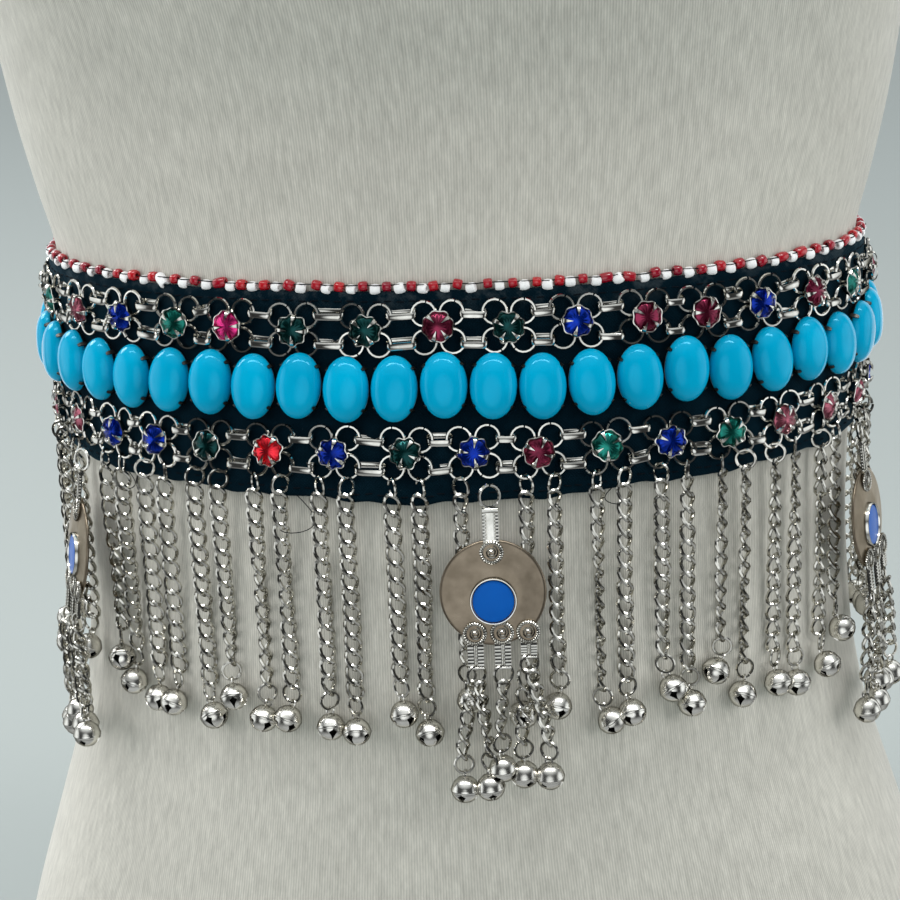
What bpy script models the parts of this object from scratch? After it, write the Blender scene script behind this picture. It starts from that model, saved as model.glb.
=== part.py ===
"""Belly dance hip belt, worn on a limbless dress form.

A strip of dark cotton goes round the waist of a display torso and closes at the centre back. A row of
turquoise cabochons runs along its middle. Above and below it lies a chain of four-ring rosettes, each with
a claw-set stone. Bell chains hang from the lower rosette chain, and so do three coin medallions.

Lengths are in millimetres and become metres when a mesh is made. +Z is up and the front faces -Y. Places
on the belt are given by an arc, measured along the cabochon row from the centre front towards +X, and by
a height above that row.
"""
from math import pi, radians

import bmesh
import bpy
import numpy as np
from mathutils import Matrix, Vector

MM = 0.001
PART = "hip_belt_on_dress_form"

# ---------------------------------------------------------------- driving dimensions
BELT_ROW_Z = 260.0            # cabochon row above the form's hem
BELT_HALF_WIDTH = 116.0       # the band's outer face, at the cabochon row
BELT_FRONT = 72.0
BELT_BACK = 70.0
SIDE_FLARE = 0.00030          # the half width grows by this share for each millimetre up
FRONT_LEAN = 0.25             # the front goes back by this much for each millimetre up
BACK_LEAN = 0.10

BAND_TOP = 24.8               # the band's edges, from the cabochon row
BAND_BOTTOM = -27.9
BAND_WALL = 2.0               # folded double, with an interlining
BAND_DIP = 1.9                # how far the lower edge dips at the centre front
BAND_DIP_ARC = 40.0
BAND_WAVE = 0.35              # slight unevenness of the lower edge
BAND_WAVE_ARC = 43.0
BAND_END_GAP = 6.0            # between the two ends, at the centre back
BAND_COLUMNS = 72
FORM_GAP = 0.6                # between the band and the form

TAB_WIDTH = 30.0
TAB_TOP = 18.0
TAB_BOTTOM = -21.0
TAB_WALL = 1.3

SEAM = 0.35                   # between pieces that touch

EDGING_HEIGHT = 3.7           # zigzag of seed beads on the top edge
EDGING_WALL = 2.0
EDGING_INSET = 0.1

CABOCHONS = 42
CABOCHON_PITCH = 12.9
CABOCHON_ARC = 2.8            # where the middle one sits
CABOCHON_WIDTH = 12.7
CABOCHON_HEIGHT = 17.9
CABOCHON_SIDES = 8

ROSETTES = 29
UPPER_ROW = 15.3
UPPER_PITCH = 18.15
UPPER_ARC = 1.6
LOWER_ROW = -16.8
LOWER_PITCH = 17.5
LOWER_ARC = 10.4
RING_CENTRE = 3.75            # each of the four rings, from the rosette's centre
RING_RADIUS = 3.6
ROSETTE_WALL = 0.9
ROSETTE_BACK = 0.45           # its back, off the band
CUP_RADIUS = 4.1
CUP_HEIGHT = 2.7
STONE_PEAK = 3.6
CUP_SIDES = 6

CHAIN_WIDTH = 3.9             # curb chain
CHAIN_DEPTH = 2.0
BELL_DIAMETER = 7.8
HANG_GAP = 0.45               # chains and bells, off what they lie on
CHAIN_SHOULDER = 6.6          # a chain is clear of the band's edge this far below its ring

DISC_RADIUS = 14.1
DISC_WALL = 1.1
DISC_SIDES = 14
DISC_DROP = 28.3              # the disc's centre, below the hinge
BEZEL_RADIUS = 6.3
BEZEL_INSIDE = 5.85
BEZEL_HEIGHT = 1.3
BEZEL_DROP = 2.2              # the bezel's centre, below the disc's
BLUE_DISC_RADIUS = 5.5
BLUE_DISC_WALL = 0.7
STRAP_WIDTH = 4.2
STRAP_WALL = 0.9
COIL_RADIUS = 2.9
COIL_WALL = 1.0
COIL_SIDES = 7
JUMP_RING_RADIUS = 2.6
JUMP_RING_WIRE = 0.45
HINGE_OUT = 3.0               # the hinge, off the band
HINGE_HEIGHT = -24.4

# The torso: height from the cabochon row, half width, depth in front, depth behind, squareness
FORM_SECTIONS = [
    (-260.0, 150.0, 74.0, 100.0, 2.10),   # hem
    (-225.0, 148.5, 76.5, 103.0, 2.10),   # fullest part of the seat
    (-180.0, 138.0, 79.0, 101.0, 2.05),
    (-148.0, 128.0, 80.0, 95.0, 2.00),
    (-128.0, 121.5, 80.5, 91.0, 2.00),
    (-112.0, 116.8, 80.8, 87.5, 2.00),
    (-85.0, 112.8, 80.8, 81.5, 2.00),     # belly
    (-55.0, 111.6, 79.2, 75.5, 2.00),     # waist
    (44.0, 118.8, 60.8, 64.5, 2.00),
    (64.0, 123.3, 62.0, 65.5, 2.00),
    (80.0, 126.0, 67.0, 68.0, 2.00),
    (97.0, 128.6, 77.5, 71.5, 2.00),
    (116.0, 131.6, 89.5, 76.0, 2.05),
    (135.0, 134.4, 99.0, 80.0, 2.10),
    (155.0, 137.0, 103.0, 83.5, 2.10),    # bust
    (176.0, 139.2, 100.5, 86.5, 2.15),
    (200.0, 141.5, 92.5, 89.0, 2.15),
    (230.0, 145.5, 81.0, 90.5, 2.20),
    (262.0, 152.5, 69.0, 89.0, 2.20),
    (286.0, 158.5, 60.5, 85.0, 2.20),
    (301.0, 160.0, 55.5, 80.5, 2.20),     # shoulder points
    (312.0, 156.0, 52.0, 76.5, 2.15),
    (321.0, 144.0, 49.5, 72.5, 2.10),
    (331.0, 120.0, 47.5, 68.0, 2.05),
    (341.0, 95.0, 46.5, 64.0, 2.00),
    (351.0, 75.0, 46.0, 61.0, 2.00),
    (363.0, 60.5, 45.5, 57.5, 2.00),      # foot of the neck
    (380.0, 54.0, 44.5, 54.5, 2.00),
    (405.0, 51.5, 44.0, 52.5, 2.00),
    (431.0, 50.5, 43.5, 52.0, 2.00),
    (440.0, 45.0, 38.0, 46.5, 2.00),
]
FORM_SIDES = 36

# Bell chains on a rosette's left and right lower rings: from the ring to the middle of the bell.
# The row repeats round the belt, and its first line is the rosette left of the centre front.
CHAIN_DROPS = [
    (60.0, 66.0),
    (66.0, 63.0),
    (69.0, 67.0),
    (62.0, 67.0),
    (60.0, 68.0),
    (67.0, 69.0),
    (67.0, 59.0),
    (61.0, 58.0),
    (60.0, 65.0),
    (68.0, 68.0),
    (70.0, 63.0),
    (66.0, 66.0),
    (67.0, 69.0),
    (62.0, 69.0),
]

# Medallions: name, rosette it hangs from (counted from CHAIN_DROPS' first), side of its ring, the tilt in
# degrees with which it lies on the chains and on what is under them, and how far it is turned to its right
MEDALLIONS = [
    ("medallion_left", -7, 1, 8.0, -18.0),
    ("medallion_centre", 0, 1, 9.0, 0.0),
    ("medallion_right", 7, -1, 6.0, 5.0),
]

# A medallion's hangers: distance from its centre line, length of the strap, and then for each chain the
# bell's distance from the centre line and its drop below the strap
HANGERS = [
    (-5.2, 9.5, ((-9.4, 34.8), (-2.6, 34.2))),
    (2.0, 9.6, ((0.9, 29.1),)),
    (8.9, 7.0, ((6.6, 33.8), (13.4, 34.3))),
]
HANGER_TOP = 10.8             # the coil heads, below the disc's centre
PAIR_ROOTS = 1.6              # between the tops of two chains of one strap

# How far each rosette is sewn off its even place, from the first that is named. The rows repeat round the belt.
UPPER_SHIFTS = (-6, [-1.5, -1.6, -1.0, -2.6, -2.6, -1.1, 0.0, 0.3, -0.2, -0.1, -1.6, -2.9, -2.7, -3.5, -1.5])
LOWER_SHIFTS = (-7, [-0.9, -2.0, -3.5, -3.8, -3.1, -2.4, -0.4, 0.0, -0.6, 0.3, 0.1, 0.0, -0.7, -0.8])


# ---------------------------------------------------------------- shared helpers
def new_object(name, mesh, colour, roughness, metallic, collection):
    """Give the mesh an object of its own in the collection, with its own material."""
    material = bpy.data.materials.new(name)
    material.use_nodes = True
    shader = material.node_tree.nodes["Principled BSDF"]
    shader.inputs["Base Color"].default_value = (*colour, 1.0)
    shader.inputs["Roughness"].default_value = roughness
    shader.inputs["Metallic"].default_value = metallic
    mesh.materials.clear()
    mesh.materials.append(material)
    made = bpy.data.objects.new(name, mesh)
    collection.objects.link(made)
    return made


def finish_mesh(shape, name):
    """Turn the faces outwards, go from millimetres to metres, and return the mesh."""
    bmesh.ops.recalc_face_normals(shape, faces=shape.faces)
    bmesh.ops.scale(shape, vec=(MM, MM, MM), verts=shape.verts)
    mesh = bpy.data.meshes.new(name)
    shape.to_mesh(mesh)
    shape.free()
    return mesh


def add_ring(shape, points):
    """Add the points as vertices and return them in order."""
    return [shape.verts.new(point) for point in points]


def join_rings(shape, first, second):
    """Close the band between two rings of the same number of vertices."""
    count = len(first)
    for i in range(count):
        j = (i + 1) % count
        shape.faces.new((first[i], first[j], second[j], second[i]))


def loft(shape, rings, start=None):
    """Join rings of points one after another and cap the ends. start is a ring already in the mesh."""
    verts = [add_ring(shape, ring) for ring in rings]
    if start:
        verts.insert(0, start)
    for first, second in zip(verts, verts[1:]):
        join_rings(shape, first, second)
    if not start:
        shape.faces.new(verts[0])
    shape.faces.new(verts[-1])


def section(angle, half_width, front, back, squareness=2.0):
    """Points of a torso section: angle 0 is the centre front, and half turns have their own depths."""
    power = 2.0 / squareness
    across, along = np.sin(angle), np.cos(angle)
    depth = np.where(along > 0, front, back)
    x = half_width * np.sign(across) * np.abs(across) ** power
    y = -depth * np.sign(along) * np.abs(along) ** power
    return x, y


# ---------------------------------------------------------------- the belt's surface
def belt_sizes(height):
    """Half width, front and back depth of the band's outer face at a height from the cabochon row."""
    half_width = BELT_HALF_WIDTH * (1.0 + SIDE_FLARE * height)
    return half_width, BELT_FRONT - FRONT_LEAN * height, BELT_BACK - BACK_LEAN * height


TURNS = np.linspace(-pi, pi, 4001)
ROW_X, ROW_Y = section(TURNS, *belt_sizes(0.0))
STEPS = np.hypot(np.diff(ROW_X), np.diff(ROW_Y))
ARCS = np.concatenate([[0.0], np.cumsum(STEPS)]) - STEPS.sum() / 2.0
HALF_LENGTH = STEPS.sum() / 2.0


def belt_point(arc, height, out=0.0):
    """A point on the band's outer face, moved out along the face's level normal."""
    angle = np.interp(arc, ARCS, TURNS)
    half_width, front, back = belt_sizes(height)
    x, y = section(angle, half_width + out, front + out, back + out)
    return np.stack(np.broadcast_arrays(x, y, BELT_ROW_Z + height), -1)


def belt_frame(arc, height, out=0.0):
    """Axes on the band's face: X along the belt, Y up its slope and Z outwards."""
    here = Vector(belt_point(arc, height))
    along = Vector(belt_point(arc + 0.5, height)) - Vector(belt_point(arc - 0.5, height))
    up = Vector(belt_point(arc, height + 0.5)) - Vector(belt_point(arc, height - 0.5))
    along.normalize()
    outward = along.cross(up).normalized()
    up = outward.cross(along)
    axes = Matrix((along, up, outward)).transposed().to_4x4()
    return Matrix.Translation(here + outward * out) @ axes


def rosette_arc(row_arc, pitch, shifts, index):
    """Where a rosette sits on its row: its even place and how far it was sewn off that."""
    first, amounts = shifts
    return row_arc + pitch * index + amounts[(index - first) % len(amounts)]


# ---------------------------------------------------------------- dress form
def form_sections():
    """The torso's sections, with those under the band worked out from the band's own sizes."""
    inset = BAND_WALL + FORM_GAP
    rows = list(FORM_SECTIONS)
    for height in (BAND_BOTTOM, BAND_TOP):
        half_width, front, back = belt_sizes(height)
        rows.append((height, half_width - inset, front - inset, back - inset, 2.0))
    return np.array(sorted(rows))


FORM_ROWS = form_sections()


def make_dress_form(collection):
    """One smooth closed torso on a flat hem, with a plain neck and no limbs."""
    shape = bmesh.new()
    angle = np.linspace(0.0, 2.0 * pi, FORM_SIDES, endpoint=False)
    rings = []
    for height, half_width, front, back, squareness in FORM_ROWS:
        x, y = section(angle, half_width, front, back, squareness)
        rings.append(np.stack(np.broadcast_arrays(x, y, BELT_ROW_Z + height), -1))
    loft(shape, rings)
    mesh = finish_mesh(shape, "dress_form")
    mesh.shade_smooth()
    mesh.set_sharp_from_angle(angle=radians(50.0))
    new_object("dress_form", mesh, (0.60, 0.58, 0.50), 0.9, 0.0, collection)


# ---------------------------------------------------------------- cloth band and its closure
def lower_edge(arc):
    """Height of the band's lower edge: it dips at the centre front and waves a little."""
    dip = BAND_DIP * np.exp(-((arc / BAND_DIP_ARC) ** 2))
    wave = BAND_WAVE * np.sin(2.0 * pi * arc / BAND_WAVE_ARC)
    return BAND_BOTTOM - dip + wave


def strip(shape, arcs, corners):
    """A strip round the belt: corners(arc) gives each cross-section's (height, out) corners in order."""
    rings = []
    for arc in arcs:
        rings.append([belt_point(arc, height, out) for height, out in corners(arc)])
    loft(shape, rings)


def band_arcs(half_length, columns):
    """Arcs of a strip's cross-sections, spaced by equal angles like the form's own sides."""
    end = np.interp(half_length, ARCS, TURNS)
    return np.interp(np.linspace(-end, end, columns + 1), TURNS, ARCS)


def make_belt_band(collection):
    """A wall of doubled cotton, open at the centre back, with its lower edge a little uneven."""
    shape = bmesh.new()

    def corners(arc):
        bottom = lower_edge(arc)
        return [(bottom, 0.0), (BAND_TOP, 0.0), (BAND_TOP, -BAND_WALL), (bottom, -BAND_WALL)]

    strip(shape, band_arcs(HALF_LENGTH - BAND_END_GAP / 2.0, BAND_COLUMNS), corners)
    new_object("belt_band", finish_mesh(shape, "belt_band"), (0.012, 0.02, 0.035), 0.9, 0.0, collection)


def make_closure_tab(collection):
    """A tab of the same cotton that laps over both ends of the band at the centre back."""
    shape = bmesh.new()

    def corners(arc):
        return [(TAB_BOTTOM, SEAM), (TAB_BOTTOM, SEAM + TAB_WALL),
                (TAB_TOP, SEAM + TAB_WALL), (TAB_TOP, SEAM)]

    arcs = HALF_LENGTH + np.linspace(-0.5, 0.5, 5) * TAB_WIDTH
    strip(shape, (arcs + HALF_LENGTH) % (2.0 * HALF_LENGTH) - HALF_LENGTH, corners)
    new_object("closure_tab", finish_mesh(shape, "closure_tab"), (0.012, 0.02, 0.035), 0.9, 0.0, collection)


def make_bead_edging(collection):
    """The space that the zigzag of seed beads takes on the band's top edge."""
    shape = bmesh.new()
    foot = BAND_TOP + SEAM
    outer = -EDGING_INSET
    inner = outer - EDGING_WALL

    def corners(arc):
        return [(foot, outer), (foot + EDGING_HEIGHT, (outer + inner) / 2.0), (foot, inner)]

    strip(shape, band_arcs(HALF_LENGTH - BAND_END_GAP / 2.0, BAND_COLUMNS), corners)
    new_object("bead_edging", finish_mesh(shape, "bead_edging"), (0.6, 0.05, 0.04), 0.25, 0.0, collection)


# ---------------------------------------------------------------- cabochons
def cabochon_mesh():
    """An oval stone in its setting: a narrow foot, the girdle, and a dome of two steps."""
    shape = bmesh.new()
    half_width, half_height = CABOCHON_WIDTH / 2.0, CABOCHON_HEIGHT / 2.0
    angle = np.linspace(0.0, 2.0 * pi, CABOCHON_SIDES, endpoint=False) + pi / 2.0
    rings = []
    for out, wide, high in (
        (SEAM, 0.76, 0.72),
        (2.4, 1.0, 1.0),
        (4.7, 0.78, 0.80),
        (6.2, 0.34, 0.38),
    ):
        x = half_width * wide * np.cos(angle)
        y = half_height * high * np.sin(angle)
        rings.append(np.stack(np.broadcast_arrays(x, y, out), -1))
    loft(shape, rings)
    return finish_mesh(shape, "cabochon")


def metres(frame):
    """The same placing with its distances in metres."""
    placed = frame.copy()
    placed.translation = frame.translation * MM
    return placed


def make_cabochons(collection):
    """The stones touch side by side along the middle of the band, from one end to the other."""
    first = cabochon_mesh()
    for number in range(CABOCHONS):
        arc = CABOCHON_ARC + CABOCHON_PITCH * (number - CABOCHONS // 2)
        name = f"cabochon_{number + 1:02d}"
        stone = new_object(name, first.copy(), (0.02, 0.38, 0.72), 0.12, 0.0, collection)
        stone.matrix_world = metres(belt_frame(arc, 0.0))


# ---------------------------------------------------------------- rosette chains
def rosette_outline():
    """Outer points of the four touching rings, anticlockwise from the right-hand notch.

    Each ring shows two flats, one level and one upright, which its neighbours' links and chains use.
    """
    flat = RING_RADIUS * 0.42
    reach = RING_CENTRE + RING_RADIUS
    near, far = RING_CENTRE - flat, RING_CENTRE + flat
    quarter = [(RING_CENTRE + 0.6, 0.0), (reach, near), (reach, far), (far, reach), (near, reach)]
    outline = []
    for turn in range(4):
        spin = Matrix.Rotation(turn * pi / 2.0, 2)
        outline += [spin @ Vector(point) for point in quarter]
    return outline


OUTLINE = rosette_outline()
RIGHT_UPPER, LEFT_UPPER, LEFT_LOWER, RIGHT_LOWER = (1, 2), (8, 9), (11, 12), (18, 19)
FOOT_LEFT, FOOT_RIGHT = (13, 14), (16, 17)


def add_rosette(shape, frame):
    """Add one rosette without the sides that its links and chains close. Return its two rings."""
    back, front = ROSETTE_BACK, ROSETTE_BACK + ROSETTE_WALL
    lower = add_ring(shape, [frame @ Vector((x, y, back)) for x, y in OUTLINE])
    upper = add_ring(shape, [frame @ Vector((x, y, front)) for x, y in OUTLINE])
    shape.faces.new(lower)
    angle = [2.0 * pi * i / CUP_SIDES for i in range(CUP_SIDES)]
    foot = [frame @ Vector((CUP_RADIUS * np.cos(a), CUP_RADIUS * np.sin(a), front)) for a in angle]
    rim_radius = CUP_RADIUS * 0.86
    rim = [frame @ Vector((rim_radius * np.cos(a), rim_radius * np.sin(a), front + CUP_HEIGHT)) for a in angle]
    foot_ring, rim_ring = add_ring(shape, foot), add_ring(shape, rim)
    join_rings(shape, foot_ring, rim_ring)
    peak = shape.verts.new(frame @ Vector((0.0, 0.0, front + STONE_PEAK)))
    for i in range(CUP_SIDES):
        shape.faces.new((rim_ring[i], rim_ring[(i + 1) % CUP_SIDES], peak))
    edges = [shape.edges.get((ring[i], ring[(i + 1) % len(ring)])) or
             shape.edges.new((ring[i], ring[(i + 1) % len(ring)]))
             for ring in (upper, foot_ring) for i in range(len(ring))]
    bmesh.ops.triangle_fill(shape, use_beauty=True, edges=edges)
    return lower, upper


def side_ring(rosette, corners):
    """The four vertices of one side of a rosette: back, back, front, front."""
    lower, upper = rosette
    first, second = corners
    return [lower[first], lower[second], upper[second], upper[first]]


def make_rosette_row(shape, row_height, row_arc, pitch, shifts, hanging=None):
    """Rosettes joined by pairs of links. hanging(index, side) says where a bell chain's path goes."""
    middle = ROSETTES // 2
    rosettes = []
    for number in range(ROSETTES):
        arc = rosette_arc(row_arc, pitch, shifts, number - middle)
        rosettes.append(add_rosette(shape, belt_frame(arc, row_height)))
    linked = {number: set() for number in range(ROSETTES)}
    for number in range(ROSETTES - 1):
        pairs = ((RIGHT_UPPER, LEFT_UPPER[::-1]), (RIGHT_LOWER, LEFT_LOWER[::-1]))
        for right, left in pairs:
            join_rings(shape, side_ring(rosettes[number], right), side_ring(rosettes[number + 1], left))
            linked[number].add(right)
            linked[number + 1].add(left[::-1])
    for number, rosette in enumerate(rosettes):
        for side, foot in ((-1, FOOT_LEFT), (1, FOOT_RIGHT)):
            rings = hanging(number - middle, side) if hanging else None
            if rings:
                loft(shape, rings, start=side_ring(rosette, foot))
                linked[number].add(foot)
        for first in range(len(OUTLINE)):
            second = (first + 1) % len(OUTLINE)
            if (first, second) not in linked[number]:
                shape.faces.new(side_ring(rosette, (first, second)))


# ---------------------------------------------------------------- bell chains
BELL_STEPS = [
    # below the chain's end, half width, half depth
    (0.0, 1.1, 1.0),
    (2.2, 3.3, 3.3),
    (5.8, 3.3, 3.3),
    (7.8, 1.3, 1.3),
]


def surface_reach(origin, outward, height):
    """How far out along a level line the band or the form reaches at a height."""
    if BAND_BOTTOM - BAND_DIP - CHAIN_DEPTH <= height <= BAND_TOP:
        half_width, front, back = belt_sizes(height)
    else:
        columns = [np.interp(height, FORM_ROWS[:, 0], FORM_ROWS[:, i]) for i in (1, 2, 3)]
        half_width, front, back = columns
    depth = front if origin.y < 0 else back
    a = (outward.x / half_width) ** 2 + (outward.y / depth) ** 2
    b = origin.x * outward.x / half_width ** 2 + origin.y * outward.y / depth ** 2
    c = (origin.x / half_width) ** 2 + (origin.y / depth) ** 2 - 1.0
    return (-b + np.sqrt(max(b * b - a * c, 0.0))) / a


def chain_rings(index, side):
    """Cross-sections of one bell chain: down the cloth, over the belly and then straight down."""
    if (index, side) in [(hanger, ring) for _, hanger, ring, *_ in MEDALLIONS]:
        return None
    frame = belt_frame(rosette_arc(LOWER_ARC, LOWER_PITCH, LOWER_SHIFTS, index), LOWER_ROW)
    root = frame @ Vector((side * RING_CENTRE, -RING_CENTRE - RING_RADIUS, ROSETTE_BACK + ROSETTE_WALL / 2.0))
    along = frame.to_3x3().col[0].normalized()
    outward = Vector((along.y, -along.x, 0.0)).normalized()
    drop = CHAIN_DROPS[index % len(CHAIN_DROPS)][0 if side < 0 else 1]
    chain_end = drop - BELL_DIAMETER / 2.0
    half_width, half_depth = CHAIN_WIDTH / 2.0, CHAIN_DEPTH / 2.0
    stations = [(CHAIN_SHOULDER, half_width, half_depth), (chain_end * 0.5, half_width, half_depth)]
    stations += [(chain_end + below, wide, deep) for below, wide, deep in BELL_STEPS]
    bell_depth = max(deep for _, _, deep in BELL_STEPS)
    furthest = 0.0
    rings = []
    for below, wide, deep in stations:
        height = root.z - BELT_ROW_Z - below
        spare = bell_depth if below > chain_end - 1.0 else deep
        furthest = max(furthest, surface_reach(root, outward, height) + spare + HANG_GAP)
        centre = root + outward * furthest - Vector((0.0, 0.0, below))
        rings.append(bar_corners(centre, along, outward, wide, deep))
    return rings


def bar_corners(centre, along, outward, half_width, half_depth):
    """Four corners of a bar's cross-section: back left, back right, front right, front left."""
    return [centre + along * half_width * i + outward * half_depth * j
            for i, j in ((-1, -1), (1, -1), (1, 1), (-1, 1))]


# ---------------------------------------------------------------- medallions
def joined(base, pieces, name):
    """The Boolean union of a base object and the pieces, as a new mesh."""
    for piece in pieces:
        union = base.modifiers.new(piece.name, "BOOLEAN")
        union.operation = "UNION"
        union.solver = "EXACT"
        union.object = piece
    bpy.context.view_layer.update()
    graph = bpy.context.evaluated_depsgraph_get()
    mesh = bpy.data.meshes.new_from_object(base.evaluated_get(graph))
    mesh.name = name
    for piece in (base, *pieces):
        bpy.data.objects.remove(piece)
    return mesh


def plain_piece(shape, name, collection):
    """An object without a material, for joining."""
    made = bpy.data.objects.new(name, finish_mesh(shape, name))
    made.hide_render = True
    made.display_type = "WIRE"
    collection.objects.link(made)
    return made


def disc_ring(radius, out, drop=0.0):
    """A circle of points on the medallion, drop below the disc's centre."""
    angle = np.linspace(0.0, 2.0 * pi, DISC_SIDES, endpoint=False) + pi / DISC_SIDES
    x = radius * np.sin(angle)
    y = radius * np.cos(angle) - DISC_DROP - drop
    return np.stack(np.broadcast_arrays(x, y, out), -1)


def strap_piece(name, x, top, foot, head, collection):
    """A stamped strap with a round coil head, lying on the disc's face."""
    shape = bmesh.new()
    back, front = DISC_WALL * 0.4, DISC_WALL * 0.4 + STRAP_WALL + 0.3
    rings = []
    for y in (top, foot):
        rings.append([Vector((x + i * STRAP_WIDTH / 2.0, y, out))
                      for i, out in ((-1, back), (1, back), (1, front), (-1, front))])
    loft(shape, rings)
    strap = plain_piece(shape, name, collection)
    shape = bmesh.new()
    angle = np.linspace(0.0, 2.0 * pi, COIL_SIDES, endpoint=False)
    rings = []
    for out in (back + 0.1, front + COIL_WALL * 0.5):
        px, py = x + COIL_RADIUS * np.cos(angle), head + COIL_RADIUS * np.sin(angle)
        rings.append(np.stack(np.broadcast_arrays(px, py, out), -1))
    loft(shape, rings)
    return [strap, plain_piece(shape, name + "_coil", collection)]


def bell_chain_piece(name, root, foot, top, drop, collection):
    """A straight bell chain in the medallion's own plane, from a distance off its centre line to another."""
    shape = bmesh.new()
    chain_end = drop - BELL_DIAMETER / 2.0
    stations = [(0.0, CHAIN_WIDTH * 0.47, CHAIN_DEPTH / 2.0)]
    stations += [(chain_end + below, wide, deep) for below, wide, deep in BELL_STEPS]
    across, outward = Vector((1.0, 0.0, 0.0)), Vector((0.0, 0.0, 1.0))
    rings = []
    for below, wide, deep in stations:
        x = root + (foot - root) * min(below / chain_end, 1.0)
        rings.append(bar_corners(Vector((x, top - below, DISC_WALL)), across, outward, wide, deep))
    loft(shape, rings)
    return plain_piece(shape, name, collection)


def medallion_mesh(collection):
    """Disc with a raised bezel, bail and jump ring above, three hangers with bell chains below."""
    shape = bmesh.new()
    bezel_top = DISC_WALL + BEZEL_HEIGHT
    rings = [
        disc_ring(DISC_RADIUS, 0.0),
        disc_ring(DISC_RADIUS, DISC_WALL * 0.7),
        disc_ring(BEZEL_RADIUS, DISC_WALL + 0.4, BEZEL_DROP),
        disc_ring(BEZEL_RADIUS, bezel_top, BEZEL_DROP),
        disc_ring(BEZEL_INSIDE, bezel_top, BEZEL_DROP),
        disc_ring(BEZEL_INSIDE, DISC_WALL, BEZEL_DROP),
    ]
    loft(shape, rings)
    base = plain_piece(shape, "disc", collection)
    ring_foot = -2.0 * (JUMP_RING_RADIUS + JUMP_RING_WIRE)
    pieces = strap_piece("bail", 0.0, ring_foot + 0.6, -DISC_DROP + 9.0, -DISC_DROP + 10.4, collection)
    bpy.ops.mesh.primitive_torus_add(
        major_radius=JUMP_RING_RADIUS * MM, minor_radius=JUMP_RING_WIRE * MM,
        major_segments=8, minor_segments=3)
    ring = bpy.context.active_object
    ring.name = "jump_ring"
    ring.location = (0.0, -(JUMP_RING_RADIUS + JUMP_RING_WIRE) * MM, DISC_WALL * 0.9 * MM)
    pieces.append(ring)
    head = -DISC_DROP - HANGER_TOP
    for number, (x, length, bells) in enumerate(HANGERS):
        foot = head - length
        pieces += strap_piece(f"strap_{number}", x, head, foot, head, collection)
        for place, (bell_x, drop) in enumerate(bells):
            root = x + (place - (len(bells) - 1) / 2.0) * PAIR_ROOTS
            name = f"chain_{number}_{place}"
            pieces.append(bell_chain_piece(name, root, bell_x, foot + 0.8, drop, collection))
    return joined(base, pieces, "medallion")


def hinge_frame(index, side, tilt, turn):
    """A medallion's own axes: X along the belt, Y up its tilted plane, Z outwards, origin on the hinge."""
    arc = rosette_arc(LOWER_ARC, LOWER_PITCH, LOWER_SHIFTS, index) + side * RING_CENTRE
    flat = belt_frame(arc, HINGE_HEIGHT)
    along = flat.to_3x3().col[0]
    across = Vector((along.x, along.y, 0.0)).normalized()
    outward = across.cross(Vector((0.0, 0.0, 1.0)))
    axes = Matrix((across, Vector((0.0, 0.0, 1.0)), outward)).transposed().to_4x4()
    place = Matrix.Translation(flat.translation + outward * HINGE_OUT)
    return place @ axes @ Matrix.Rotation(radians(turn), 4, "Y") @ Matrix.Rotation(-radians(tilt), 4, "X")


def make_medallions(collection, working):
    """Three medallions of one pattern, each under an empty on its hinge axis."""
    metal = medallion_mesh(working)
    shape = bmesh.new()
    floor = DISC_WALL + SEAM
    loft(shape, [disc_ring(BLUE_DISC_RADIUS, floor, BEZEL_DROP),
                 disc_ring(BLUE_DISC_RADIUS, floor + BLUE_DISC_WALL, BEZEL_DROP)])
    blue = finish_mesh(shape, "blue_disc")
    for name, index, side, tilt, turn in MEDALLIONS:
        hinge = bpy.data.objects.new(name + "_hinge", None)
        hinge.matrix_world = metres(hinge_frame(index, side, tilt, turn))
        collection.objects.link(hinge)
        plate = new_object(name, metal.copy(), (0.42, 0.40, 0.36), 0.32, 1.0, collection)
        plate.parent = hinge
        centre = new_object(name + "_stone", blue.copy(), (0.0, 0.12, 0.50), 0.2, 0.0, collection)
        centre.parent = hinge


# ---------------------------------------------------------------- assembly
def make_rosette_chains(collection):
    """The upper chain is plain. The lower one is the backing that the bell chains' roots are fused to."""
    shape = bmesh.new()
    make_rosette_row(shape, UPPER_ROW, UPPER_ARC, UPPER_PITCH, UPPER_SHIFTS)
    mesh = finish_mesh(shape, "rosette_chain_upper")
    new_object("rosette_chain_upper", mesh, (0.52, 0.50, 0.47), 0.3, 1.0, collection)
    shape = bmesh.new()
    make_rosette_row(shape, LOWER_ROW, LOWER_ARC, LOWER_PITCH, LOWER_SHIFTS, chain_rings)
    mesh = finish_mesh(shape, "rosette_chain_lower")
    new_object("rosette_chain_lower", mesh, (0.52, 0.50, 0.47), 0.3, 1.0, collection)


for old in list(bpy.data.objects):
    bpy.data.objects.remove(old)

part = bpy.data.collections.new(PART)
bpy.context.scene.collection.children.link(part)
joins = bpy.data.collections.new("pieces_for_joining")
bpy.context.scene.collection.children.link(joins)

make_dress_form(part)
make_belt_band(part)
make_closure_tab(part)
make_bead_edging(part)
make_cabochons(part)
make_rosette_chains(part)
make_medallions(part, joins)
bpy.context.view_layer.update()
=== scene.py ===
"""Finish of a belly dance hip belt that is worn on a limbless dress form.

Lengths are in millimetres and become metres when a mesh is made. +Z is up and the front faces -Y. Places on
the belt are an arc, measured along the cabochon row from the centre front towards +X, a height above that
row, and a distance out from the cloth's face.

A shape here is a pair: its points, and a list of face arrays, each with a row of corner numbers a face.
"""

from math import cos, pi, radians, sin

import bpy
import numpy as np
from mathutils import Matrix, Vector


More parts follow.
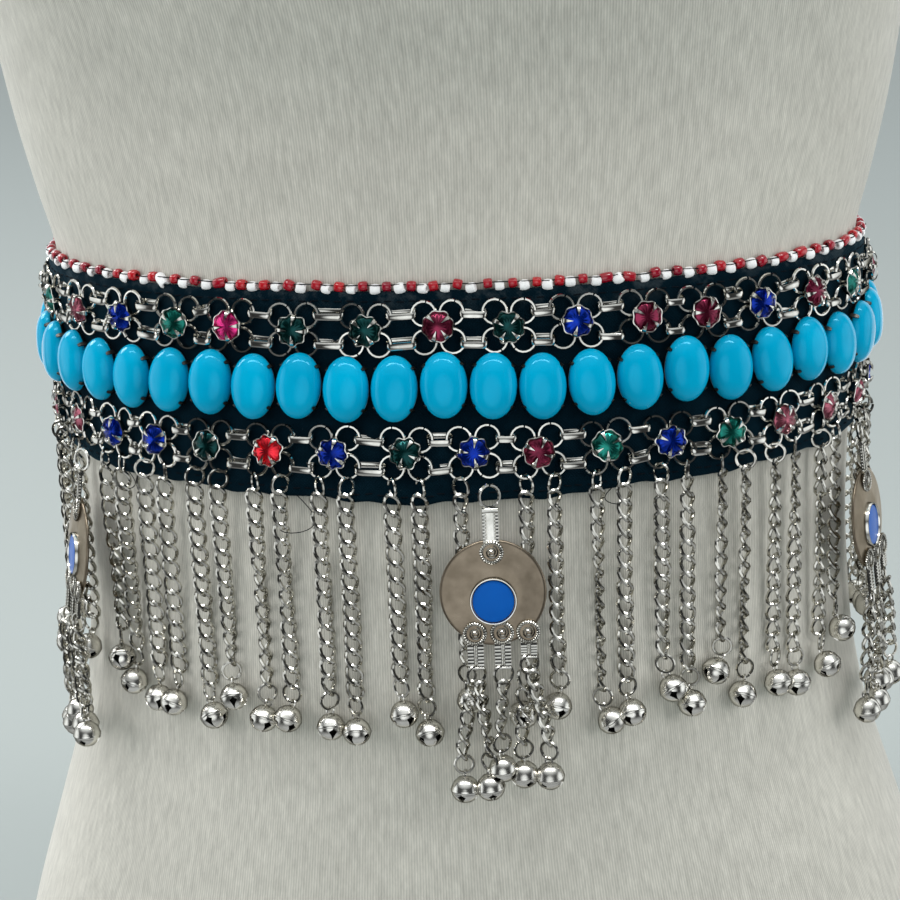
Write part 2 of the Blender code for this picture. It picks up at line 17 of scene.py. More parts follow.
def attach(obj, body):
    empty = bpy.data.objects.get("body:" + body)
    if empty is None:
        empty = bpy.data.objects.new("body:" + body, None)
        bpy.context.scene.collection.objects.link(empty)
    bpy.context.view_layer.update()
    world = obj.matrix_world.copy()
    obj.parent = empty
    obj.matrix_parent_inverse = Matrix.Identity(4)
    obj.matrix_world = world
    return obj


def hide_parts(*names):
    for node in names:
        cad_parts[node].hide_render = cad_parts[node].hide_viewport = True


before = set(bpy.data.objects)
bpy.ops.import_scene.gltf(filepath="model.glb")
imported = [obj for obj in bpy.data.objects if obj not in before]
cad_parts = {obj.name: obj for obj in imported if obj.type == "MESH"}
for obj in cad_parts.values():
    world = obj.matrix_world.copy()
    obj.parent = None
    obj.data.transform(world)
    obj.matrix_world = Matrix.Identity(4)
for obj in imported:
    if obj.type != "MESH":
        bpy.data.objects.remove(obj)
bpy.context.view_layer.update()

# ---------------------------------------------------------------- studio
# A wide floor of pale paper under the form, soft lamps, and a long lens that looks a little down on the belt.
# The room's own panels of light show in what is glossy, and past the paper the camera sees a plain backdrop.
# None of it is part of the object.
MM = 0.001
PAPER_COLOUR = (0.36, 0.395, 0.385)
PAPER_REACH = 9000.0
BACKDROP_COLOUR = (0.31, 0.345, 0.335, 1.0)
ROOM_COLOUR = (0.94, 0.98, 1.0, 1.0)
CAMERA_PLACE = (68.0, -747.6, 443.0)
CAMERA_YAW, CAMERA_PITCH, CAMERA_ROLL = -0.095, 0.2865, 0.0425
SENSOR = 36.0
LENS = 106.72


def unit(vectors):
    """The vectors at length one."""
    return vectors / np.linalg.norm(vectors, axis=-1, keepdims=True)


def new_finish(name, **sockets):
    """A material with one Principled shader. The words name its sockets, with _ for a space."""
    material = bpy.data.materials.new(name)
    material.use_nodes = True
    shader = material.node_tree.nodes["Principled BSDF"]
    for socket, value in sockets.items():
        colour = socket.endswith(("Color", "Tint")) and len(value) == 3
        shader.inputs[socket.replace("_", " ")].default_value = (*value, 1.0) if colour else value
    return material


def add_node(material, kind, inputs=(), **settings):
    """Add a node, set it up, and give each input in {place: value} a value or another node's output."""
    made = material.node_tree.nodes.new("ShaderNode" + kind)
    for setting, value in settings.items():
        setattr(made, setting, value)
    for place, value in dict(inputs).items():
        if isinstance(value, bpy.types.NodeSocket):
            material.node_tree.links.new(value, made.inputs[place])
        else:
            made.inputs[place].default_value = value
    return made.outputs


def maths(material, operation, *values, **settings):
    """What a Math node makes of the values, which are numbers or other nodes' outputs."""
    return add_node(material, "Math", dict(enumerate(values)), operation=operation, **settings)[0]


def ranged(material, value, low, high, start=0.0, end=1.0):
    """The value carried over in a straight line, from low..high to start..end, and clamped there."""
    return add_node(material, "MapRange", {0: value, 1: low, 2: high, 3: start, 4: end})[0]


def faces_of_grid(rows, columns, round_rows=False, round_columns=False):
    """Four-cornered faces of points numbered row by row. A round way joins its last line to its first."""
    down = np.arange(rows if round_rows else rows - 1)[:, None]
    across = np.arange(columns if round_columns else columns - 1)[None, :]
    below, beside = (down + 1) % rows, (across + 1) % columns
    start, end = down * columns, below * columns
    corners = np.broadcast_arrays(start + across, start + beside, end + beside, end + across)
    return np.stack(corners, -1).reshape(-1, 4)


def new_object(name, shape, material, smooth=50.0):
    """An object at the origin from a shape in millimetres, smooth but for edges sharper than the angle."""
    points, faces = shape
    corners = np.concatenate([face.ravel() for face in faces])
    sizes = np.concatenate([np.full(len(face), face.shape[1]) for face in faces])
    mesh = bpy.data.meshes.new(name)
    mesh.vertices.add(len(points))
    mesh.vertices.foreach_set("co", (points * MM).astype(np.float32).ravel())
    mesh.loops.add(len(corners))
    mesh.loops.foreach_set("vertex_index", corners.astype(np.int32))
    mesh.polygons.add(len(sizes))
    mesh.polygons.foreach_set("loop_start", (np.cumsum(sizes) - sizes).astype(np.int32))
    mesh.update(calc_edges=True)
    mesh.validate()
    if smooth:
        mesh.shade_smooth()
        mesh.set_sharp_from_angle(angle=radians(smooth))
    mesh.materials.append(material)
    made = bpy.data.objects.new(name, mesh)
    bpy.context.scene.collection.objects.link(made)
    return made


camera = bpy.data.objects.new("camera", bpy.data.cameras.new("camera"))
camera.data.sensor_width = SENSOR
camera.data.lens = LENS
forward = Vector((sin(CAMERA_YAW) * cos(CAMERA_PITCH), cos(CAMERA_YAW) * cos(CAMERA_PITCH),
                  -sin(CAMERA_PITCH)))
level = forward.cross(Vector((0.0, 0.0, 1.0))).normalized()
upright = level.cross(forward)
across = level * cos(CAMERA_ROLL) - upright * sin(CAMERA_ROLL)
upward = level * sin(CAMERA_ROLL) + upright * cos(CAMERA_ROLL)
camera.matrix_world = (Matrix.Translation(Vector(CAMERA_PLACE) * MM)
                       @ Matrix((across, upward, -forward)).transposed().to_4x4())
bpy.context.scene.collection.objects.link(camera)
bpy.context.scene.camera = camera

paper = np.array([(-1.0, -1.0, 0.0), (1.0, -1.0, 0.0), (1.0, 1.0, 0.0), (-1.0, 1.0, 0.0)]) * PAPER_REACH
paper_finish = new_finish("paper", Base_Color=PAPER_COLOUR, Roughness=0.95)
floor = new_object("paper_floor", (paper, [np.array([[0, 1, 2, 3]])]), paper_finish, 0.0)
floor.visible_glossy = False

LAMP_AIM = Vector((0.0, 0.0, 250.0))
LAMPS = [
    # name, place, width, length, watts, whether it shines back from glossy things
    ("ceiling", (0.0, -420.0, 1900.0), 2400.0, 220.0, 17.0, True),
    ("window", (-1500.0, 900.0, 1300.0), 800.0, 800.0, 14.0, True),
    ("left_fill", (-1700.0, -900.0, 900.0), 1400.0, 1400.0, 19.0, False),
    ("right_fill", (1700.0, -900.0, 900.0), 1400.0, 1400.0, 18.0, False),
]
for name, place, width, length, watts, shines in LAMPS:
    lamp = bpy.data.objects.new(name, bpy.data.lights.new(name, "AREA"))
    lamp.data.shape = "RECTANGLE"
    lamp.data.size = width * MM
    lamp.data.size_y = length * MM
    lamp.data.energy = watts
    lamp.matrix_world = (Matrix.Translation(Vector(place) * MM)
                         @ (Vector(place) - LAMP_AIM).to_track_quat("Z", "Y").to_matrix().to_4x4())
    lamp.visible_glossy = shines
    lamp.visible_camera = False
    bpy.context.scene.collection.objects.link(lamp)
world = bpy.data.worlds.new("room")
world.use_nodes = True
direction = add_node(world, "SeparateXYZ", {0: add_node(world, "TexCoord")["Generated"]})
ceiling_glow = ranged(world, direction["Z"], 0.5, 0.95, 0.04, 1.1)
floor_glow = ranged(world, direction["Z"], -0.35, -0.8, 0.0, 0.4)
in_front = maths(world, "MULTIPLY", direction["Y"], -1.0)
behind = maths(world, "ADD", direction["Y"], 0.35)
to_a_side = maths(world, "ABSOLUTE", direction["X"])
nearest = maths(world, "MAXIMUM", maths(world, "MAXIMUM", in_front, behind), to_a_side)
wall_glow = ranged(world, nearest, 0.84, 0.96, 0.0, 1.05)
glow = maths(world, "ADD", maths(world, "ADD", ceiling_glow, wall_glow), floor_glow)
room_light = add_node(world, "Background", {"Color": ROOM_COLOUR, "Strength": glow})[0]
backdrop = add_node(world, "Background", {"Color": BACKDROP_COLOUR, "Strength": 1.0})[0]
seen_first = add_node(world, "LightPath")["Is Camera Ray"]
room = add_node(world, "MixShader", {0: seen_first, 1: room_light, 2: backdrop})[0]
world.node_tree.links.new(room, world.node_tree.nodes["World Output"].inputs["Surface"])
bpy.context.scene.world = world
bpy.context.scene.view_settings.view_transform = "Standard"

# ---------------------------------------------------------------- dress form
# A limbless display torso: a padded shell under one tube of cream ribbed jersey, pulled smooth over a flat
# hem and a plain neck. The belt only lies on it.
FORM_TABLE = np.array([
    # height from the cabochon row, half width, depth in front, depth behind, squareness
    (-260.0, 150.0, 74.0, 100.0, 2.10),
    (-225.0, 148.5, 76.5, 103.0, 2.10),
    (-180.0, 138.0, 79.0, 101.0, 2.05),
    (-148.0, 128.0, 80.0, 95.0, 2.00),
    (-128.0, 121.5, 80.5, 91.0, 2.00),
    (-112.0, 116.8, 80.8, 87.5, 2.00),
    (-85.0, 112.8, 80.8, 81.5, 2.00),
    (-55.0, 111.6, 79.2, 75.5, 2.00),
    (44.0, 118.8, 60.8, 64.5, 2.00),
    (64.0, 123.3, 62.0, 65.5, 2.00),
    (80.0, 126.0, 67.0, 68.0, 2.00),
    (97.0, 128.6, 77.5, 71.5, 2.00),
    (116.0, 131.6, 89.5, 76.0, 2.05),
    (135.0, 134.4, 99.0, 80.0, 2.10),
    (155.0, 137.0, 103.0, 83.5, 2.10),
    (176.0, 139.2, 100.5, 86.5, 2.15),
    (200.0, 141.5, 92.5, 89.0, 2.15),
    (230.0, 145.5, 81.0, 90.5, 2.20),
    (262.0, 152.5, 69.0, 89.0, 2.20),
    (286.0, 158.5, 60.5, 85.0, 2.20),
    (301.0, 160.0, 55.5, 80.5, 2.20),
    (312.0, 156.0, 52.0, 76.5, 2.15),
    (321.0, 144.0, 49.5, 72.5, 2.10),
    (331.0, 120.0, 47.5, 68.0, 2.05),
    (341.0, 95.0, 46.5, 64.0, 2.00),
    (351.0, 75.0, 46.0, 61.0, 2.00),
    (363.0, 60.5, 45.5, 57.5, 2.00),
    (380.0, 54.0, 44.5, 54.5, 2.00),
    (405.0, 51.5, 44.0, 52.5, 2.00),
    (431.0, 50.5, 43.5, 52.0, 2.00),
    (440.0, 45.0, 38.0, 46.5, 2.00),
])
ROW_Z = 260.0                     # the cabochon row above the hem
BELT_HALF_WIDTH, BELT_FRONT, BELT_BACK = 116.0, 72.0, 70.0
SIDE_FLARE, FRONT_LEAN, BACK_LEAN = 0.00030, 0.25, 0.10
BAND_TOP, BAND_BOTTOM, BAND_WALL, FORM_GAP = 24.8, -27.9, 2.0, 0.6
FORM_COLUMNS, FORM_STEP = 150, 4.4
FORM_EDGE = 1.6                   # rounding at the hem and the neck
END_RINGS = [30.0, 12.0]          # how far in from the section those of the flat ends lie
JERSEY_RIBS = 1000
YARN_ACROSS, YARN_UP = 0.45, 130.0    # uneven patches of yarn, to a rib and to a metre of height
JERSEY_CREAM = (0.635, 0.615, 0.55)
BODY = "belt_on_form"


def stacked(*coordinates):
    """Points from their coordinates, or axes from their directions. One given once serves for all."""
    return np.stack(np.broadcast_arrays(*coordinates), -1)


def squared(wave, power):
    """A sine or cosine with its size raised to a power: below 1 that squares a circle off."""
    return np.sign(wave) * np.abs(wave) ** power


def section(angle, half_width, front, back, squareness=2.0):
    """Torso section: a superellipse in each half, with angle 0 at the centre front."""
    power = 2.0 / squareness
    depth = np.where(np.cos(angle) > 0, front, back)
    return half_width * squared(np.sin(angle), power), -depth * squared(np.cos(angle), power)


def belt_sizes(height):
    """Half width, front and back depth of the cloth's outer face: straight lines of the height."""
    half_width = BELT_HALF_WIDTH * (1.0 + SIDE_FLARE * height)
    return half_width, BELT_FRONT - FRONT_LEAN * height, BELT_BACK - BACK_LEAN * height


def form_table():
    """The torso's rows, with those under the band set in from the band's own sizes."""
    heights = np.linspace(BAND_BOTTOM, BAND_TOP, 6)
    inset = BAND_WALL + FORM_GAP
    under = stacked(heights, *(size - inset for size in belt_sizes(heights)), 2.0)
    rows = np.concatenate([FORM_TABLE, under])
    return rows[np.argsort(rows[:, 0])]


FORM_ROWS = form_table()


def form_sizes(heights):
    """Monotone cubic through the rows: a row's slope is the harmonic mean of the chords beside it."""
    x, y = FORM_ROWS[:, 0], FORM_ROWS[:, 1:]
    chord = np.diff(y, axis=0) / np.diff(x)[:, None]
    together = chord[:-1] * chord[1:]
    total = np.where(together > 0, chord[:-1] + chord[1:], 1.0)
    slope = np.concatenate([chord[:1], np.where(together > 0, 2.0 * together / total, 0.0), chord[-1:]])
    i = np.clip(np.searchsorted(x, heights) - 1, 0, len(x) - 2)
    gap = (x[i + 1] - x[i])[..., None]
    t = (np.asarray(heights)[..., None] - x[i][..., None]) / gap
    start = y[i] * (1 + 2 * t) * (1 - t) ** 2 + slope[i] * gap * t * (1 - t) ** 2
    return start + y[i + 1] * t * t * (3 - 2 * t) + slope[i + 1] * gap * t * t * (t - 1)


def set_uv(made, uv):
    """Give each corner its point's (u, v). A face that spans the seam has its low corners moved on by one."""
    mesh = made.data
    corners = np.empty(len(mesh.loops), np.int32)
    mesh.loops.foreach_get("vertex_index", corners)
    starts = np.empty(len(mesh.polygons), np.int32)
    mesh.polygons.foreach_get("loop_start", starts)
    placed = uv[corners]
    sizes = np.diff(np.append(starts, len(corners)))
    highest = np.repeat(np.maximum.reduceat(placed[:, 0], starts), sizes)
    lowest = np.repeat(np.minimum.reduceat(placed[:, 0], starts), sizes)
    placed[:, 0] += (highest - lowest > 0.5) & (placed[:, 0] < 0.5)
    mesh.uv_layers.new(name="UVMap").data.foreach_set("uv", placed.astype(np.float32).ravel())


def solid(points, faces):
    """A closed shape with its faces turned outwards: they are reversed where its signed volume is negative,
    a sum over triangles of a corner times the cross product of the other two."""
    volume = 0.0
    for face in faces:
        for i in range(1, face.shape[1] - 1):
            a, b, c = (points[face[:, j]] for j in (0, i, i + 1))
            volume += np.einsum("ij,ij->", a, np.cross(b, c))
    return points, faces if volume > 0 else [face[:, ::-1] for face in faces]


def pointed(grid, start, end):
    """A solid from a grid whose columns go round, with its first and last row drawn in to two points."""
    rows, columns = grid.shape[:2]
    first = np.arange(columns)
    second, last = (first + 1) % columns, (rows - 1) * columns
    faces = [faces_of_grid(rows, columns, round_columns=True),
             stacked(second, first, rows * columns),
             stacked(last + first, last + second, rows * columns + 1)]
    return solid(np.concatenate([grid.reshape(-1, 3), [start, end]]), faces)


def make_dress_form():
    """Rings of the section at each height, rounded over at hem and neck and closed at the middle."""
    lowest, highest = FORM_ROWS[0, 0], FORM_ROWS[-1, 0]
    middle = np.linspace(lowest + FORM_EDGE, highest - FORM_EDGE, int((highest - lowest) / FORM_STEP))
    turn = np.linspace(0.0, pi / 2.0, 5)[:-1]
    rise, inset = FORM_EDGE * (1.0 - np.cos(turn)), FORM_EDGE * (1.0 - np.sin(turn))
    ends = np.zeros(len(END_RINGS))
    heights = np.concatenate([lowest + ends, lowest + rise, middle, highest - rise[::-1], highest + ends])
    insets = np.concatenate([END_RINGS, inset, np.zeros(len(middle)), inset[::-1], END_RINGS[::-1]])
    sizes = form_sizes(heights)
    angle = np.linspace(-pi, pi, FORM_COLUMNS, endpoint=False)
    half_width, front, back = (sizes[:, i:i + 1] - insets[:, None] for i in range(3))
    x, y = section(angle, half_width, front, back, sizes[:, 3:])
    shape = pointed(stacked(x, y, ROW_Z + heights[:, None]), [0.0, 0.0, ROW_Z + lowest],
                    [0.0, 0.0, ROW_Z + highest])
    uv = stacked(np.arange(FORM_COLUMNS) / FORM_COLUMNS, heights[:, None] * MM).reshape(-1, 2)
    return shape, np.concatenate([uv, [[0.5, lowest * MM], [0.5, highest * MM]]])


def noise(material, place, scale, detail=2.0, roughness=0.5):
    """Cloudy noise between 0 and 1, with about this many clouds to the place's unit."""
    settings = {"Vector": place, "Scale": scale, "Detail": detail, "Roughness": roughness}
    return add_node(material, "TexNoise", settings)[0]


def own_place(material):
    """Where a point is on its own object, in metres."""
    return add_node(material, "TexCoord")["Object"]


def mixed(material, share, first, second, blend="MIX"):
    """Two colours or nodes' outputs, mixed by the second one's share, or multiplied."""
    first, second = ((*colour, 1.0) if isinstance(colour, tuple) else colour for colour in (first, second))
    return add_node(material, "Mix", {"Factor": share, 6: first, 7: second}, data_type="RGBA",
                    blend_type=blend)[2]


def bumped(material, strength, distance, height):
    """The surface's direction, tilted by the slope of a height, with the distance in metres for each 1."""
    return add_node(material, "Bump", {"Strength": strength, "Distance": distance, "Height": height})[0]


def feed(material, **sockets):
    """Link nodes' outputs to the material's shader. The words name its sockets, with _ for a space."""
    shader = material.node_tree.nodes["Principled BSDF"]
    for socket, output in sockets.items():
        material.node_tree.links.new(output, shader.inputs[socket.replace("_", " ")])


def jersey_finish():
    """Cream jersey: fine upright ribs with painted shade in their grooves, uneven yarn, soft cloudy wear."""
    cloth = new_finish("rib_jersey", Roughness=0.92, Sheen_Weight=0.25, Sheen_Roughness=0.5,
                       Specular_IOR_Level=0.2)
    uv = add_node(cloth, "SeparateXYZ", {0: add_node(cloth, "UVMap")[0]})
    turns = maths(cloth, "MULTIPLY", uv["X"], 2.0 * pi * JERSEY_RIBS)
    rib = ranged(cloth, maths(cloth, "SINE", turns), -1.0, 0.6)
    along = maths(cloth, "MULTIPLY", uv["X"], JERSEY_RIBS * YARN_ACROSS)
    up = maths(cloth, "MULTIPLY", uv["Y"], YARN_UP)
    yarn = noise(cloth, add_node(cloth, "CombineXYZ", {0: along, 1: up})[0], 1.0, 3.0, 0.7)
    cloud = noise(cloth, own_place(cloth), 26.0, 4.0, 0.6)
    # Painted shade: each rib's groove is darker in colour, as its relief would be in shadow.
    painted_rib_shade = ranged(cloth, rib, 0.0, 1.0, 0.80, 1.0)
    uneven = ranged(cloth, yarn, 0.3, 0.7, 0.80, 1.08)
    worn = ranged(cloth, cloud, 0.3, 0.7, 0.93, 1.04)
    tone = maths(cloth, "MULTIPLY", maths(cloth, "MULTIPLY", painted_rib_shade, uneven), worn)
    feed(cloth, Base_Color=mixed(cloth, 1.0, JERSEY_CREAM, tone, "MULTIPLY"),
         Normal=bumped(cloth, 0.25, 0.0002, maths(cloth, "ADD", rib, yarn)))
    return cloth


form_shape, form_uv = make_dress_form()
dress_form = new_object("dress_form_jersey", form_shape, jersey_finish(), 60.0)
set_uv(dress_form, form_uv)
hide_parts("dress_form")
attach(dress_form, BODY)

# ---------------------------------------------------------------- cloth band
# A strip of dark navy cotton, folded double over an interlining and pressed. Both long edges are folds, with
# a running stitch near each. The hand sewing of the stones puckers it, and its lower edge is uneven.
BAND_DIP, BAND_DIP_ARC = 1.9, 40.0
BAND_WAVES = [
    # of the lower edge: height, length, start in radians
    (0.35, 43.0, 0.0),
    (0.28, 17.5, 0.8),
    (0.16, 10.7, 0.0),
]
TOP_WAVE, TOP_WAVE_RATE = 0.12, 0.41      # of the upper fold: height, and radians to the millimetre
BAND_END_GAP = 6.0
BAND_COLUMNS = 620
CREASES = [
    # arc, height, half length up the cloth, half width, depth, slant
    (-66.0, -21.0, 6.0, 2.2, 0.40, 0.25),
    (-52.0, -24.0, 4.0, 1.6, -0.30, -0.3),
    (-43.0, 21.0, 3.0, 4.0, 0.25, 0.6),
    (-36.0, -22.0, 6.5, 2.6, 0.45, 0.15),
    (-27.0, -9.0, 3.5, 1.8, 0.25, 0.8),
    (-19.0, -23.0, 5.0, 2.0, -0.35, -0.1),
    (-9.0, 9.0, 2.8, 2.4, 0.22, -0.7),
    (-3.0, -25.0, 5.5, 3.4, 0.42, 0.3),
    (7.0, 21.5, 3.2, 3.0, -0.22, 0.5),
    (15.0, -21.0, 6.0, 1.8, 0.35, -0.35),
    (24.0, -24.5, 4.2, 2.8, -0.38, 0.1),
    (33.0, 8.5, 2.6, 1.6, 0.2, 0.9),
    (40.0, -22.0, 5.8, 2.0, 0.4, 0.3),
    (51.0, -25.0, 3.6, 3.0, 0.3, -0.5),
    (60.0, 21.0, 3.4, 2.2, 0.28, -0.4),
    (69.0, -22.0, 6.4, 1.7, -0.42, 0.2),
]
CREASE_REPEAT = 149.0             # the creases come again round the belt, each time shifted and stretched
CREASE_SHIFTS, CREASE_STRETCH = [6.0, -4.0, 0.0, 5.0, -7.0], 0.03
FAINT_CREASE = 0.05               # height of the two waves that cross all over the cloth
BAND_ROWS, BACK_ROWS, FOLD_ROWS = 15, 6, 5
COTTON_THREAD = 0.00042           # from one thread of the weave to the next, in metres
COTTON_NAVY = (0.0005, 0.0045, 0.0085), (0.0015, 0.0095, 0.016)
COTTON_FADED = (0.09, 0.105, 0.11)
COTTON_GLOW = (0.35, 0.75, 1.0)

TURNS = np.linspace(-pi, pi, 4001)
STEPS = np.linalg.norm(np.diff(stacked(*section(TURNS, *belt_sizes(0.0))), axis=0), axis=-1)
HALF_LENGTH = STEPS.sum() / 2.0
ARCS = np.concatenate([[0.0], np.cumsum(STEPS)]) - HALF_LENGTH


def belt_point(arc, height, out=0.0):
    """A point on the cloth's outer face, moved out along the face's level normal."""
    wrapped = (np.asarray(arc) + HALF_LENGTH) % (2.0 * HALF_LENGTH) - HALF_LENGTH
    half_width, front, back = belt_sizes(height)
    x, y = section(np.interp(wrapped, ARCS, TURNS), half_width + out, front + out, back + out)
    return stacked(x, y, ROW_Z + height)


def belt_frames(arc, height, out=0.0):
    """Places on the cloth and their axes as columns: along the belt, up its slope, and outwards."""
    arc, height, out = np.broadcast_arrays(arc, height, np.asarray(out, float))
    along = unit(belt_point(arc + 0.5, height) - belt_point(arc - 0.5, height))
    up = unit(belt_point(arc, height + 0.5) - belt_point(arc, height - 0.5))
    outward = unit(np.cross(along, up))
    axes = stacked(along, np.cross(outward, along), outward)
    return belt_point(arc, height) + outward * out[..., None], axes


def lower_edge(arc):
    """Height of the lower fold: a dip at the centre front, a long wave and the sewing's short ones."""
    dip = BAND_DIP * np.exp(-((arc / BAND_DIP_ARC) ** 2))
    waves = (size * np.sin(2.0 * pi * arc / length + start) for size, length, start in BAND_WAVES)
    return BAND_BOTTOM - dip + sum(waves)


def pucker(arc, height):
    """How far the cloth stands out: soft ridges and troughs, each a bell curve across and along itself,
    over a faint crossing of two waves."""
    total = FAINT_CREASE * np.sin(arc * 0.97 + height * 0.12) * np.sin(height * 0.31 + arc * 0.07)
    for turn, place in enumerate(np.arange(-2, 3) * CREASE_REPEAT + CREASE_SHIFTS):
        for at, middle, length, width, depth, slant in CREASES:
            off = arc - place - at * (1.0 + CREASE_STRETCH * turn) - slant * (height - middle)
            total = total + depth * np.exp(-((off / width) ** 2) - ((height - middle) / length) ** 2)
    return total


def capped(grid):
    """A solid from a grid whose columns go round, with a flat face over its first and its last row."""
    rows, columns = grid.shape[:2]
    caps = np.arange(columns)[None]
    faces = [faces_of_grid(rows, columns, round_columns=True), caps[:, ::-1], caps + (rows - 1) * columns]
    return solid(grid.reshape(-1, 3), faces)


def make_band():
    """A flat loop of two faces and two folds, carried along the belt and capped at both ends."""
    end = np.interp(HALF_LENGTH - BAND_END_GAP / 2.0, ARCS, TURNS)
    arc = np.interp(np.linspace(-end, end, BAND_COLUMNS), TURNS, ARCS)[:, None]
    fold = np.linspace(0.0, pi, FOLD_ROWS + 2)[1:-1]
    front, back = np.linspace(0.0, 1.0, BAND_ROWS), np.linspace(1.0, 0.0, BACK_ROWS)
    up = np.concatenate([front, np.ones(FOLD_ROWS), back, np.zeros(FOLD_ROWS)])
    over = np.concatenate([0.0 * front, np.sin(fold), 0.0 * back, -np.sin(fold)])
    side = np.concatenate([np.ones(BAND_ROWS), np.cos(fold), -np.ones(BACK_ROWS), -np.cos(fold)])
    radius = BAND_WALL / 2.0
    bottom = lower_edge(arc) + radius
    top = BAND_TOP - radius + TOP_WAVE * np.sin(arc * TOP_WAVE_RATE)
    height = bottom + (top - bottom) * up + radius * over
    out = radius * (side - 1.0) + pucker(arc, height) * (side > -0.5)
    grid = belt_point(np.broadcast_to(arc, height.shape), height, out)
    return capped(grid), stacked(arc * MM, height * MM).reshape(-1, 2)


def cotton_finish(name):
    """Dark navy plain weave: over-and-under threads, faded greyish towards the top fold, pale lint."""
    cloth = new_finish(name, Roughness=0.92, Sheen_Weight=0.12, Sheen_Roughness=0.4, Sheen_Tint=COTTON_GLOW,
                       Specular_IOR_Level=0.12, Specular_Tint=COTTON_GLOW)
    uv = add_node(cloth, "UVMap")[0]
    part = add_node(cloth, "SeparateXYZ", {0: uv})
    waves = [maths(cloth, "SINE", maths(cloth, "MULTIPLY", part[way], pi / COTTON_THREAD)) for way in "XY"]
    slub = noise(cloth, uv, 900.0, 3.0, 0.65)
    worn = noise(cloth, uv, 120.0, 4.0, 0.7)
    near_fold = ranged(cloth, part["Y"], 0.019, 0.0255)
    faded = maths(cloth, "MULTIPLY", near_fold, ranged(cloth, worn, 0.48, 0.72, 0.0, 0.55))
    lint = ranged(cloth, slub, 0.70, 0.78, 0.0, 0.35)
    pale = maths(cloth, "ADD", faded, lint, use_clamp=True)
    navy = mixed(cloth, ranged(cloth, worn, 0.3, 0.7), *COTTON_NAVY)
    height = maths(cloth, "ADD", maths(cloth, "MULTIPLY", *waves), slub)
    feed(cloth, Base_Color=mixed(cloth, pale, navy, COTTON_FADED), Normal=bumped(cloth, 0.5, 0.00012, height))
    return cloth


band_shape, band_uv = make_band()
band = new_object("belt_band_cloth", band_shape, cotton_finish("navy_cotton"), 70.0)
set_uv(band, band_uv)
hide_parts("belt_band")
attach(band, BODY)

# ---------------------------------------------------------------- closure tab
# A tab of the same cotton laps over both ends of the band at the centre back. Its edges are turned in and
# it is sewn round with a visible thread.
TAB_WIDTH, TAB_TOP, TAB_BOTTOM, TAB_WALL = 30.0, 18.0, -21.0, 1.3
TAB_SQUARENESS, TAB_EDGE = 7.0, 0.06      # its edge's rounding is a share of the way to its middle
TAB_DENT, DENT_AT, DENT_WIDTH = 0.14, 0.86, 0.03      # depth, and shares of the way out from the middle
SEAM = 0.35                       # between pieces that touch


def full_turn(count):
    """Angles evenly round a circle."""
    return np.linspace(0.0, 2.0 * pi, count, endpoint=False)


def make_tab():
    """A rounded rectangle swollen into a lens at its edge, with a sewn dent inside it, laid on the belt."""
    ring, power = full_turn(72), 2.0 / TAB_SQUARENESS
    x = squared(np.cos(ring), power) * TAB_WIDTH / 2.0
    y = squared(np.sin(ring), power) * (TAB_TOP - TAB_BOTTOM) / 2.0
    turn = np.linspace(-pi / 2.0, pi / 2.0, 7)
    inset = np.concatenate([[0.66, 0.33], TAB_EDGE * (1 - np.cos(turn)), [0.33, 0.66]])[:, None]
    lift = np.concatenate([[0, 0], (np.sin(turn) + 1.0) / 2.0, [1, 1]])[:, None] * TAB_WALL
    dent = TAB_DENT * np.exp(-(((1.0 - inset) - DENT_AT) / DENT_WIDTH) ** 2) * (lift > TAB_WALL * 0.9)
    middle = (TAB_TOP + TAB_BOTTOM) / 2.0
    arc, height = HALF_LENGTH + x * (1.0 - inset), middle + y * (1.0 - inset)
    under, over = belt_point(HALF_LENGTH, middle, np.array([SEAM, SEAM + TAB_WALL]))
    shape = pointed(belt_point(arc, height, SEAM + (lift - dent)), under, over)
    flat = stacked((arc - HALF_LENGTH) * MM, height * MM).reshape(-1, 2)
    return shape, np.concatenate([flat, np.zeros((2, 2))])


tab_shape, tab_uv = make_tab()
tab = new_object("closure_tab_cloth", tab_shape, cotton_finish("navy_cotton_tab"), 60.0)
set_uv(tab, tab_uv)
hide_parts("closure_tab")
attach(tab, BODY)

# ---------------------------------------------------------------- sewing
# Running stitches of thick dark thread near both folds of the band, a lighter row round the closure tab, and
# a few thread ends that were left hanging under the lower fold.
STITCH_LENGTH, STITCH_THREAD, STITCH_PITCH = 2.2, 0.17, 3.3
STITCH_RISE, STITCH_DIVE = 0.12, 0.3      # how high its middle lies, and how much lower its ends do
STITCH_INSET, STITCH_START = 2.4, 10.0    # from the folds, and from the band's ends
STITCH_SLIP, STITCH_STRAY, STITCH_SKEW = 0.3, 0.15, 0.12      # at most: along its row, off it, and turned
TAB_INSET, TAB_ACROSS, TAB_UP = 2.2, 9, 11
LOOSE_THREAD, LOOSE_START = 0.13, 0.6     # a radius, and how far above the lower fold they come out
LOOSE_BEND, LOOSE_ROUND = 1.3, 0.62       # half waves to a thread's length, sideways and down
LOOSE_FALL = 0.62                 # as a share of its length
UPRIGHT = np.array([0.0, 0.0, 1.0])
LOOSE_ENDS = [
    # arc, length, how far it curls sideways, turn of the curl
    (-38.0, 16.0, 5.0, 0.4),
    (47.0, 7.0, -2.0, 1.1),
    (-93.0, 9.0, 2.5, 2.0),
    (133.0, 11.0, -3.0, 0.2),
    (238.0, 8.0, 2.0, 1.6),
    (-208.0, 10.0, -2.5, 0.9),
]


def round_profile(radius, sides):
    """A circle of points, anticlockwise."""
    angle = full_turn(sides)
    return radius * stacked(np.cos(angle), np.sin(angle))


